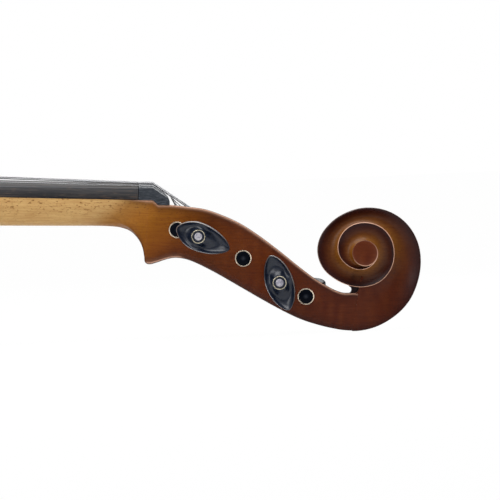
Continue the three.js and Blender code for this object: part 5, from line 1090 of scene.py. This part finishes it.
tone = blended(shaded, math_node(shaded, "MULTIPLY", white_line, 0.85), tone, paint(190, 146, 90))
shaded.links.new(tone, outlet.inputs["Colour"])
shaded.links.new(dark_line, outlet.inputs["Line"])

def shaded_plate(tree, wood, place):
    return placed_group(tree, shaded, Wood=wood, Place=place, Inset=read(tree, "inset"),
                        From_Edge=read(tree, "from_edge"))


def on_body(tree):
    return placed_in(tree, body_origin, slope - NECK_ANGLE)


belly_look, tree, shader = new_look("belly_spruce", Specular_IOR_Level=0.3, IOR=1.45, Coat_Roughness=0.2)
place = on_body(tree)
parts = split(tree, place)
wobble = noise(tree, vector_math(tree, "MULTIPLY", place, (0.12, 1, 0.2)), 0.05, 3.0)
lane = math_node(tree, "MULTIPLY_ADD", wobble, 8.0, parts["Y"])
year = math_node(tree, "FRACT", math_node(tree, "DIVIDE", lane, 1.3))
late_wood = faded(tree, year, 0.3, 0.95)
grain, _ = fibred(tree, place, 1.7, 0.04, 1.9, 0.1)
spruce = blended(tree, late_wood, paint(182, 118, 44), paint(126, 66, 18))
spruce = blended(tree, faded(tree, grain, 0.3, 0.7, 0, 0.4), spruce, paint(150, 88, 28))
shading = shaded_plate(tree, spruce, place)
ridges = math_node(tree, "SUBTRACT", late_wood, shading.outputs["Line"])
surfaced(shader, shading.outputs["Colour"], (grain, 0.3, 0.7, 0.28, 0.42), (ridges, 0.14, 0.0001))
shader.inputs["Coat Weight"].default_value = 0.3
belly = plate("belly_arched", BELLY_ARCH, False)
root_half = float(board_half(-NECK_LENGTH)) + 0.15
carve(belly, box((-6.3, -root_half, -2), (3, root_half, 8)), box((-409, -18.3, -2), (-398.2, 18.3, 8)))
for side in (1, -1):
    carve(belly, *sound_hole(side))
finished(belly, from_body, "viola", belly_look, ["top_plate"], 30)

back_look, tree, shader = new_look("back_maple", Specular_IOR_Level=0.3, IOR=1.45, Coat_Roughness=0.2)
place = on_body(tree)
parts = split(tree, place)
leaning = math_node(tree, "MULTIPLY_ADD", math_node(tree, "ABSOLUTE", parts["Y"]), 0.28, parts["X"])
halves = combined(tree, leaning, parts["Y"], parts["Z"])
curl = placed_group(tree, flame, Place=halves, Spacing=10.5, Drift=2.0).outputs["Flame"]
grain, pores = fibred(tree, place, 1.5, 0.05, 1.6, 0.3)
maple = blended(tree, curl, paint(118, 58, 16), paint(170, 102, 38))
maple = blended(tree, faded(tree, grain, 0.3, 0.7, 0, 0.35), maple, paint(110, 56, 18))
maple = blended(tree, times(tree, pores, 0.3), maple, paint(80, 40, 16))
seam = math_node(tree, "COMPARE", parts["Y"], 0.0, 0.14)
maple = blended(tree, times(tree, seam, 0.6), maple, paint(50, 24, 10))
shading = shaded_plate(tree, maple, place)
surfaced(shader, shading.outputs["Colour"], (curl, 0, 1, 0.38, 0.3), (grain, 0.12, 0.0001))
shader.inputs["Coat Weight"].default_value = 0.3
button_turn = np.linspace(-math.pi / 2, math.pi / 2, 49)
button_rings = [np.vstack([np.column_stack([r * np.cos(button_turn), r * np.sin(button_turn)]),
                           [[-3, 11.4], [-3, -11.4]]]) for r in (11.3, 11.8, 12.0, 12.0, 11.8)]
button_rings = [np.column_stack([ring, np.full(51, z)]) for ring, z in
                zip(button_rings, (-42.2, -41.9, -41.3, -38.3, -38.02))]
button = raw_object("button", *skin(button_rings), {
    "inset": np.full(5 * 51 + 2, 40.0), "from_edge": np.full(5 * 51 + 2, 12.0)})
finished(merged("back_arched", plate("back_plain", BACK_ARCH, True), button), from_body, "viola",
         back_look,
         ["back_plate"], 30)

# Ribs: six thin strips of flamed maple, bent hot and glued to the blocks, with a lining along each edge.
# The upper and lower ribs lap round the corners and the waist ribs end behind them.
rib_look, tree, shader = new_look("rib_maple", Specular_IOR_Level=0.3, IOR=1.45, Coat_Roughness=0.2)
place = on_body(tree)
parts = split(tree, place)
strip = combined(tree, read(tree, "run"), times(tree, parts["Z"], 0.35), 0.0)
curl = placed_group(tree, flame, Place=strip, Spacing=8.5, Drift=2.0).outputs["Flame"]
grain, _ = fibred(tree, strip, 1.5, 0.05, 1.7, 0.3)
tone = blended(tree, curl, paint(98, 46, 12), paint(146, 82, 26))
tone = blended(tree, faded(tree, grain, 0.3, 0.7, 0, 0.35), tone, paint(90, 42, 12))
from_middle = math_node(tree, "ABSOLUTE", math_node(tree, "ADD", parts["Z"], 19.0))
tone = blended(tree, faded(tree, from_middle, 10, 19, 0, 0.6), tone, paint(60, 22, 8))
tone = blended(tree, read(tree, "inner"), tone, paint(196, 160, 108))
surfaced(shader, tone, (curl, 0, 1, 0.38, 0.3), (grain, 0.12, 0.0001))
shader.inputs["Coat Weight"].default_value = 0.3


def inset_line(line, inset):
    ahead, behind = np.vstack([line[1:], line[-1:]]), np.vstack([line[:1], line[:-1]])
    if line[0, 1] < 0.1:
        behind[0] = line[1] * [1, -1]
    if line[-1, 1] < 0.1:
        ahead[-1] = line[-2] * [1, -1]
    run = (ahead - behind) / np.linalg.norm(ahead - behind, axis=1, keepdims=True)
    return line + np.stack([run[:, 1], -run[:, 0]], -1) * inset


def wall(line, side, ends, insets, heights, bare):
    """A bent strip between two insets of the outline, cut to length at its ends."""
    lengths = np.concatenate([[0], np.cumsum(np.linalg.norm(np.diff(line, axis=0), axis=1))])
    first, last = ends[0], lengths[-1] - ends[1]
    places = np.concatenate([[first], lengths[(lengths > first + 0.3) & (lengths < last - 0.3)], [last]])
    outer, inner = (np.column_stack([np.interp(places, lengths, edge[:, i]) for i in (0, 1)])
                    for edge in (inset_line(line, inset) for inset in insets))
    rings = [[[-o[0], side * o[1], heights[0]], [-o[0], side * o[1], heights[1]],
              [-n[0], side * n[1], heights[1]], [-n[0], side * n[1], heights[0]]] for o,
              n in zip(outer, inner)]
    return raw_object("wall", *skin(rings), {
        "run": np.repeat(places, 4), "inner": np.tile([bare, bare, 1.0, 1.0], len(places))})


ALONG_X, UPWARDS = [1, 0, 2], [0, 2, 1]  # the order of axes that lays the axis of a turned body along x or z


def turned_object(name, profile, sides, axes=(0, 1, 2), place=(0, 0, 0)):
    verts, faces = turned(profile, sides)
    return raw_object(name, verts[:, axes] + place, faces)


upper_line, lower_line = np.vstack([upper_curve, waist_curve[:1]]), np.vstack([waist_curve[-1:], lower_curve])
BUTTON_PLACE = [-BODY_LENGTH, 0, -RIB_HEIGHT / 2]
RIB_PLANS = {  # outline, what is left off at each end of the rib, and of its linings
    "upper": (upper_line, (root_half, 2.7), (30, 29)), "waist": (waist_curve, (4.3, 4.3), (21, 21)),
    "lower": (lower_line, (2.7, 0.3), (29, 26))}
for side_name, side in (("treble", -1), ("bass", 1)):
    for level, (line, ends, lining_ends) in RIB_PLANS.items():
        strips = [wall(line, side, ends, (2.7, 4.0), (-37.7, -0.3), 0.0)] + [
            wall(line, side, lining_ends, (3.8, 5.8), z, 1.0) for z in ((-7.3, -0.3), (-37.7, -30.7))]
        rib = merged(f"{level}_rib_{side_name}_bent", *strips)
        if level == "lower":
            carve(rib, turned_object("hole", [[4.9, -8], [4.9, 8]], 32, ALONG_X, BUTTON_PLACE))
        finished(rib, from_body, "viola", rib_look, [f"{level}_rib_{side_name}"], 40)

# Inner blocks, bass bar and sound post: bare light wood, sawn and planed, that is never varnished.
bare_look, tree, shader = new_look("bare_inner_wood", Specular_IOR_Level=0.2, IOR=1.45)
place = on_body(tree)
grain, pores = fibred(tree, place, 1.2, 0.06, 1.5, 0.2)
tone = blended(tree, faded(tree, grain, 0.3, 0.7), paint(206, 174, 124), paint(178, 142, 94))
tone = blended(tree, times(tree, pores, 0.3), tone, paint(140, 104, 64))
surfaced(shader, tone, (grain, 0.3, 0.7, 0.6, 0.8), (grain, 0.2, 0.0001))
for name in ("neck_block", "end_block", "bass_bar", "sound_post", *(
        f"{level}_corner_block_{side_name}" for level in ("upper", "lower") for side_name in ("treble",
                                                                                              "bass"))):
    for material_slot in bpy.data.objects[name].material_slots:
        material_slot.material = bare_look

# Bridge: a thin plate of pale unvarnished maple that stands on two feet between the sound holes, held only by
# the strings. It thins towards its crown and is cut out with a heart, two side bays and an arch underneath.
BRIDGE_HEIGHT, BRIDGE_HALF, BRIDGE_CROWN, BRIDGE_SPREAD = 35.0, 24.5, 44.0, 23.0
bridge_look, tree, shader = new_look("bridge_maple", Specular_IOR_Level=0.3, IOR=1.45)
place = on_body(tree)
upended = node(tree, "ShaderNodeMapping",
               {"Vector": place, "Rotation": (math.pi / 2, 0, math.pi / 2)}).outputs[0]
grain, pores = fibred(tree, upended, 2.4, 0.09, 3.2, 0.35)
tone = blended(tree, faded(tree, grain, 0.3, 0.7), paint(206, 166, 108), paint(184, 140, 84))
tone = blended(tree, times(tree, pores, 0.6), tone, paint(128, 84, 44))
surfaced(shader, tone, (grain, 0.3, 0.7, 0.42, 0.56), (grain, 0.15, 0.0001))


def belly_top(x, y):
    """The level of the belly's outer face at a place, found on the finished plate."""
    above, below = (Vector(from_body([x, y, z]) * MM) for z in (30, 0))
    level = belly.ray_cast(above, below - above)[1]
    return float(to_body(np.array(level) * 1000)[2])


bridge_base = float(arch_height(1.0, BRIDGE_STOP / BODY_LENGTH, BELLY_ARCH)) + 0.3
bridge_top = bridge_base + BRIDGE_HEIGHT
LEG = [[0.86, 0.1], [0.8, 0.2], [0.93, 0.31], [0.98, 0.43], [0.84, 0.47], [0.76, 0.56], [0.86, 0.66],
       [0.97, 0.7]]


def on_bridge(points):
    return np.asarray(points, float) * [BRIDGE_HALF, BRIDGE_HEIGHT] + [0, bridge_base]


foot = [[y, belly_top(-BRIDGE_STOP - 2.4, y) + 0.3] for y in np.linspace(BRIDGE_HALF - 13, BRIDGE_HALF, 8)]
leg = through(np.vstack([[[BRIDGE_HALF, foot[-1][1] + 1.8]], on_bridge(LEG)]), 0.8)
crown_y = np.linspace(25, 0, 26)
crown = np.stack([crown_y, bridge_top - sagitta(BRIDGE_CROWN, crown_y)], -1)
right_half = np.vstack([foot, leg, crown])
arch_line = through(np.vstack([on_bridge([[0, 0.235], [0.3, 0.2], [0.42, 0.12]]), [foot[0]]]), 0.8)[:-1]
front = np.vstack([right_half, right_half[-2::-1] * [-1, 1], arch_line[:0:-1] * [-1, 1], arch_line])
heart = through(on_bridge([[0, 0.42], [0.13, 0.5], [0.2, 0.6], [0.12, 0.67], [0, 0.61], [-0.12, 0.67],
                           [-0.2, 0.6], [-0.13, 0.5]]), 0.6, closed=True)


def sawn(name, line, thickness):
    """A block across x over a closed line in y and z, as thick at each height as the function says."""
    line = np.asarray(line)
    return between(name, *(np.column_stack([side * thickness(line[:, 1]) / 2 - BRIDGE_STOP, line])
                           for side in (-1, 1)))


def rounded(made, width):
    """Breaks the sharp edges of a piece."""
    modifier = made.modifiers.new("edges", "BEVEL")
    modifier.width, modifier.segments, modifier.limit_method = width, 2, "ANGLE"
    modifier.angle_limit = math.radians(40)
    modifier.use_clamp_overlap = True
    return worked(made)


def bridge_thickness(z):
    return lerp(4.8, 1.8, np.clip((z - bridge_base) / BRIDGE_HEIGHT, 0, 1))


bridge = sawn("bridge_cut", front, bridge_thickness)
carve(bridge, sawn("heart", heart, lambda z: np.full(len(z), 9.0)))
finished(rounded(bridge, 0.25), from_body, "viola", bridge_look, ["bridge"], 45)

# Saddle and end button: dark wood like the pegs. The tailgut bends over the saddle's rounded edge, and loops
# round the neck of the button, whose tapered shank goes through the ribs into the end block.
fitting_look, tree, shader = new_look("fitting_ebony", Specular_IOR_Level=0.4, IOR=1.5)
place = on_body(tree)
grain, pores = fibred(tree, place, 1.4, 0.05, 2.0, 0.12)
tone = blended(tree, faded(tree, grain, 0.3, 0.75), paint(16, 20, 26), paint(34, 38, 44))
tone = blended(tree, times(tree, pores, 0.35), tone, paint(50, 42, 38))
surfaced(shader, tone, (grain, 0.3, 0.8, 0.28, 0.4), (grain, 0.08, 0.0001))
crest = through([[-400.75, 8.8], [-403.6, 8.8], [-405.1, 8.6], [-405.7, 8.0]], 0.4)
saddle_line = np.vstack([[[-398.5, 0], [-398.5, 4.2]],
                         through([[-398.5, 4.2], [-399.6, 7.6], [-400.75, 8.8]], 0.4)[1:-1],
                         crest, [[-405.7, 0]]])
saddle = prism("saddle_shaped", saddle_line, lambda x: np.full(len(x), 18.0))
finished(rounded(saddle, 0.3), from_body, "viola", fitting_look, ["saddle"], 45)
button_line = np.vstack([[[3.9, -19], [4.6, 0], [4.42, 0.5], [4.35, 2.6], [4.4, 5], [5.6, 5.3]], through(
    [[6.7, 5.8], [7.2, 7.4], [7.2, 9.6], [6.7, 11.6], [5.5, 13.2], [3.6, 13.9], [1.2, 14.0]], 0.4)])
end_button = turned_object("end_button_turned", button_line * [1, -1], 72, ALONG_X, BUTTON_PLACE)
finished(end_button, from_body, "viola", fitting_look, ["end_button"], 40)

# Tailpiece: a tapering arched plate of dark wood. Four strings are knotted in its keyhole slots, and the fine
# tuner stands on it at the fifth. The tailgut is held in two holes at its narrow end.
TAIL_LENGTH, TAIL_ARCH, TAIL_THICKNESS = 122.0, 44.0, 4.2
TAIL_HOLE_X, TAIL_SPREAD = -16.0, 17.75  # the strings' holes, and half the way from the first to the last
GUT_SIDE, GUT_DEPTH, GUT_RADIUS = 4.5, 9.0, 0.95
tail_tilt = math.asin(15.5 / TAIL_LENGTH)
tail_turn = turned_by(-tail_tilt)


def from_tail(points):
    return np.asarray(points, float) @ tail_turn.T + [-276, 0, 32]


def tail_top(y):
    return -sagitta(TAIL_ARCH, np.abs(y))


tuner_lean = math.asin(TAIL_SPREAD / TAIL_ARCH)
tuner_turn = np.array([[1, 0, 0], [0, math.cos(tuner_lean), -math.sin(tuner_lean)],
                       [0, math.sin(tuner_lean), math.cos(tuner_lean)]])


def from_tuner(points):
    return np.asarray(points, float) @ tuner_turn.T + [TAIL_HOLE_X, -TAIL_SPREAD,
                                                       float(tail_top(TAIL_SPREAD))]


rows = []
flat_y = np.linspace(-1, 1, 41)
for share in np.concatenate([[0, 0.003, 0.008], np.linspace(0.02, 0.98, 40), [0.992, 0.997, 1]]):
    half = lerp(24.0, 12.5, share) - 0.9 * float(smoothstep(abs(share - 0.5), 0.485, 0.5)) ** 2
    low = 0.5 * float(smoothstep(abs(share - 0.5), 0.488, 0.5)) ** 2
    y = flat_y * (half - 0.25)
    upper = np.stack([np.full(41, -share * TAIL_LENGTH), y, tail_top(y) - low - 0.35 * np.abs(flat_y) ** 24],
                     -1)
    lower = np.stack([np.full(41, -share * TAIL_LENGTH), y * 0.94, tail_top(y) - TAIL_THICKNESS + low / 2],
                     -1)
    rows.append(np.vstack([upper, lower[::-1]]))
tail = raw_object("tailpiece_arched", *skin(rows))
for share in (-0.5, 0, 0.5, 1):
    y = share * TAIL_SPREAD
    carve(tail, upright("hole", circle_line([TAIL_HOLE_X, y], 1.7), -30, 20),
          box((TAIL_HOLE_X, y - 0.95, -30), (-9.2, y + 0.95, 20)))
gut_z = float(tail_top(GUT_SIDE)) - TAIL_THICKNESS / 2
for side in (1, -1):
    carve(tail,
          turned_object("gut_hole", [[1.25, -TAIL_LENGTH - 2], [1.25, GUT_DEPTH - TAIL_LENGTH]], 24, ALONG_X,
                              [0, side * GUT_SIDE, gut_z]))
post_verts, post_faces = turned([[2.0, -9], [2.0, 3]], 24)
carve(tail, raw_object("post_hole", from_tuner(post_verts[:, UPWARDS]), post_faces))
finished(tail, lambda p: from_body(from_tail(p)), "viola", fitting_look, ["tailpiece"], 40)

# Fine tuner: a small plated channel on the tailpiece. Its knurled screw presses the long arm of a lever,
# whose short arm is a forked hook for the first string.
plated_look, tree, shader = new_look("plated_steel", Metallic=1.0)
brushed = noise(tree, vector_math(tree, "MULTIPLY", object_place(tree), (300.0, 4000.0, 2000.0)), 1.0, 4.0)
tone = blended(tree, brushed, paint(176, 176, 178), paint(214, 214, 216))
surfaced(shader, tone, (brushed, 0.3, 0.7, 0.2, 0.34), (brushed, 0.08, 0.0001))


def in_tuner(points):
    return from_body(from_tail(from_tuner(points)))


SCREW_X, PIN_PLACE = -8.0, [6.5, 0, 3.2]
channel = box((-11, -3, 0.3), (9, 3, 7.3))
carve(channel, box((-12, -2, 1.5), (10, 2, 6.1)), box((-4.6, -4, 4.9), (10, 4, 9)),
      box((-4.6, -2, 4.0), (10, 2, 9)),
      turned_object("bore", [[1.4, 1.0], [1.4, 9]], 48, UPWARDS, [SCREW_X, 0, 0]))
carve(channel, turned_object("pin_hole", [[1.2, -6], [1.2, 6]], 32, place=PIN_PLACE))
rounded(channel, 0.2)
stem = turned_object("stem", [[3, -6.3], [3, -5.3], [2.8, -5.1], [1.7, -5.1], [1.7, 0.6], [1.0, 0.6]], 48,
                     UPWARDS)
finished(merged("fine_tuner_channel", channel, stem), in_tuner, "viola", plated_look,
         ["fine_tuner_body"], 40)
arm = box((-9.1, -1.7, 3.8), (8.2, 1.7, 5.2))
hook = box((5.65, -1.7, 3.2), (8.2, 1.7, 11))
carve(hook, box((4.5, -0.6, 8.6), (10.2, 0.6, 13)))
pin = turned_object("pin", [[0.8, -3.0], [0.9, -2.8], [0.9, 2.8], [0.8, 3.0]], 32, place=PIN_PLACE)
finished(merged("fine_tuner_bell_crank", rounded(arm, 0.2), rounded(hook, 0.2), pin), in_tuner,
         "fine_tuner_lever", plated_look, ["fine_tuner_lever"], 40)
knob_turn = np.linspace(0, 2 * math.pi, 120, endpoint=False)
knob_rings = []
for radius, z, knurled in ((0.9, 5.5, 0), (1.1, 5.7, 0), (1.1, 9.6, 0), (2.0, 9.6, 0), (2.3, 9.9, 1),
                           (2.3, 14.3, 1),
                           (1.9, 14.6, 0), (0.6, 14.6, 0)):
    r = radius + 0.1 * knurled * np.sign(np.sin(knob_turn * 20))
    knob_rings.append(np.stack([r * np.cos(knob_turn) + SCREW_X, r * np.sin(knob_turn), np.full(120, z)], -1))
screw = raw_object("fine_tuner_knurled_screw", *skin(knob_rings))
finished(screw, in_tuner, "fine_tuner_screw", plated_look, ["fine_tuner_screw"], 40)

# Strings and tailgut: each follows its own path, from its knot or hook over the bridge and the nut to its
# turns on the peg. The thicker ones are wound with fine wire, and the gut is a smooth twisted cord.
wound_look, tree, shader = new_look("wound_string", Metallic=1.0)
run = times(tree, read(tree, "run"), 1000.0)
wire = math_node(tree, "SINE", times(tree, run, 2 * math.pi / 0.24))
tone = blended(tree, faded(tree, wire, -0.6, 0.6), paint(96, 96, 98), paint(176, 176, 178))
surfaced(shader, tone, (wire, -1, 1, 0.5, 0.34), (wire, 0.5, 0.00004))
gut_look, tree, shader = new_look("tail_cord", Specular_IOR_Level=0.35, IOR=1.45)
run = times(tree, read(tree, "run"), 1000.0)
twist = math_node(tree, "SINE", times(tree, run, 2 * math.pi / 1.6))
tone = blended(tree, faded(tree, twist, -1, 1), paint(22, 20, 20), paint(52, 46, 42))
surfaced(shader, tone, (twist, -1, 1, 0.42, 0.32), (twist, 0.3, 0.0001))

swept = bpy.data.node_groups.new("swept_cord", "GeometryNodeTree")
sockets = {name: swept.interface.new_socket(name, in_out="INPUT", socket_type=kind) for name, kind in (
    ("Path", "NodeSocketGeometry"), ("Radius", "NodeSocketFloat"), ("Sides", "NodeSocketInt"),
    ("Finish", "NodeSocketMaterial"))}
swept.interface.new_socket("Cord", in_out="OUTPUT", socket_type="NodeSocketGeometry")
inlet, outlet = swept.nodes.new("NodeGroupInput"), swept.nodes.new("NodeGroupOutput")
line = node(swept, "GeometryNodeMeshToCurve", {"Mesh": inlet.outputs["Path"]})
along_line = node(swept, "GeometryNodeSplineParameter")
kept = node(swept, "GeometryNodeStoreNamedAttribute", {
    "Geometry": line.outputs[0], "Name": "run", "Value": along_line.outputs["Length"]},
    data_type="FLOAT", domain="POINT")
section = node(swept, "GeometryNodeCurvePrimitiveCircle", {
    "Resolution": inlet.outputs["Sides"], "Radius": inlet.outputs["Radius"]})
tube = node(swept, "GeometryNodeCurveToMesh", {
    "Curve": kept.outputs[0], "Profile Curve": section.outputs[0], "Fill Caps": True})
real = node(swept, "GeometryNodeRealizeInstances", {"Geometry": tube.outputs[0]})
dressed = node(swept, "GeometryNodeSetMaterial", {
    "Geometry": real.outputs[0], "Material": inlet.outputs["Finish"]})
swept.links.new(dressed.outputs[0], outlet.inputs[0])


def cord(name, points, diameter, sides, look):
    """A cord along a line in metres, made by the sweep."""
    path_mesh = bpy.data.meshes.new(name)
    path_mesh.from_pydata(np.asarray(points).tolist(), [(i, i + 1) for i in range(len(points) - 1)], [])
    made = in_scene(name, path_mesh)
    modifier = made.modifiers.new("sweep", "NODES")
    modifier.node_group = swept
    for key, value in (("Radius", diameter / 2 * MM), ("Sides", sides), ("Finish", look)):
        modifier[sockets[key].identifier] = value
    worked(made).data.polygons.foreach_set("use_smooth", [True] * len(made.data.polygons))
    return made


def winding(string, share):
    """The straight stations of a string and the fine turns of its winding, in the neck's frame."""
    diameter, letter, lane_start, way, turns = STRINGS[string]
    radius, lift = diameter / 2, diameter / 2 + 0.2
    peg_x, peg_z = PEGS[letter][:2]
    nut_y = share * NUT_SPREAD
    nut_z = NUT_HEIGHT - float(sagitta(BOARD_ARCH, abs(nut_y))) + radius
    reach_to = 4.1 + 0.45 + radius
    stations = [[-NUT_LEAD, nut_y, nut_z], [2.6, nut_y, nut_z]]

    def touch(x, z):
        away = math.atan2(z - peg_z, x - peg_x) - math.acos(reach_to / math.hypot(x - peg_x, z - peg_z))
        return away, peg_x + reach_to * math.cos(away), peg_z + reach_to * math.sin(away)

    _, direct_x, direct_z = touch(2.6, nut_z)
    shoulder = (11.4 * 0.93 + radius, NUT_HEIGHT * 0.27 + lift)
    if lerp(nut_z, direct_z, (shoulder[0] - 2.6) / (direct_x - 2.6)) < shoulder[1]:
        stations.append([shoulder[0], lerp(nut_y, lane_start, 0.25), shoulder[1]])
    away = touch(stations[-1][0], stations[-1][2])[0]
    steps = np.arange(turns * 40 + 1) / 40
    turning = away - 2 * math.pi * steps
    turns_made = np.stack([peg_x + reach_to * np.cos(turning), lane_start + way * (diameter + 0.48) * steps,
                           peg_z + reach_to * np.sin(turning)], -1)
    return np.vstack([stations, turns_made])


for string, share in STRING_SHARES.items():
    diameter = STRINGS[string][0]
    radius, lift = diameter / 2, diameter / 2 + 0.2
    tail_y = share * TAIL_SPREAD
    tail_z = float(tail_top(tail_y)) + lift
    if share > -1:
        start = from_tail([[TAIL_HOLE_X, tail_y, -8.4], [TAIL_HOLE_X, tail_y, tail_z - lift - TAIL_THICKNESS],
                           [-14.8, tail_y, tail_z - lift - 1.2], [-12.6, tail_y, tail_z],
                           [0.3, tail_y, tail_z]])
    else:
        start = from_tail(from_tuner([[4.5, 0, 8.6 + radius + 0.6], [8.5, 0, 8.6 + radius + 0.6]]))
    crown_y = share * BRIDGE_SPREAD
    crown_z = bridge_top - float(sagitta(BRIDGE_CROWN, abs(crown_y))) + lift - 0.04
    over = [[-BRIDGE_STOP - 0.9, crown_y, crown_z], [-BRIDGE_STOP + 0.9, crown_y, crown_z]]
    points = np.vstack([from_body(np.vstack([start, over])), from_neck(winding(string, share))]) * MM
    made = cord(f"string_{string}_wound", points, diameter, 12, wound_look)
    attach(made, "viola")
    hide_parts(f"string_{string}")
SADDLE_TOP, BUTTON_NECK, GUT_GAP = 8.8, 4.4, 0.3
over_saddle, loop_half = SADDLE_TOP + GUT_RADIUS + GUT_GAP, BUTTON_NECK + GUT_RADIUS + GUT_GAP
drop = -BODY_LENGTH - 2.5
gut_end = from_tail([[x - TAIL_LENGTH - GUT_RADIUS, GUT_SIDE, gut_z] for x in (GUT_DEPTH, 0)])
half_gut = np.vstack([gut_end, [
    [4.5 - BODY_LENGTH, GUT_SIDE, over_saddle], [1.125 - BODY_LENGTH, GUT_SIDE, over_saddle],
    [drop + GUT_RADIUS, loop_half, over_saddle - 2 * GUT_RADIUS],
    [drop, loop_half, over_saddle - 6 * GUT_RADIUS]]])
round_button = np.linspace(0, math.pi, 25)
loop_points = np.stack([np.full(25, drop), loop_half * np.cos(round_button),
                        BUTTON_PLACE[2] - loop_half * np.sin(round_button)], -1)
gut_line = np.vstack([half_gut, loop_points, half_gut[::-1] * [1, -1, 1]])
tail_cord = cord("tailgut_twisted", from_body(gut_line) * MM, 2 * GUT_RADIUS, 20, gut_look)
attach(tail_cord, "viola")
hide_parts("tailgut")

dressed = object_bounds()
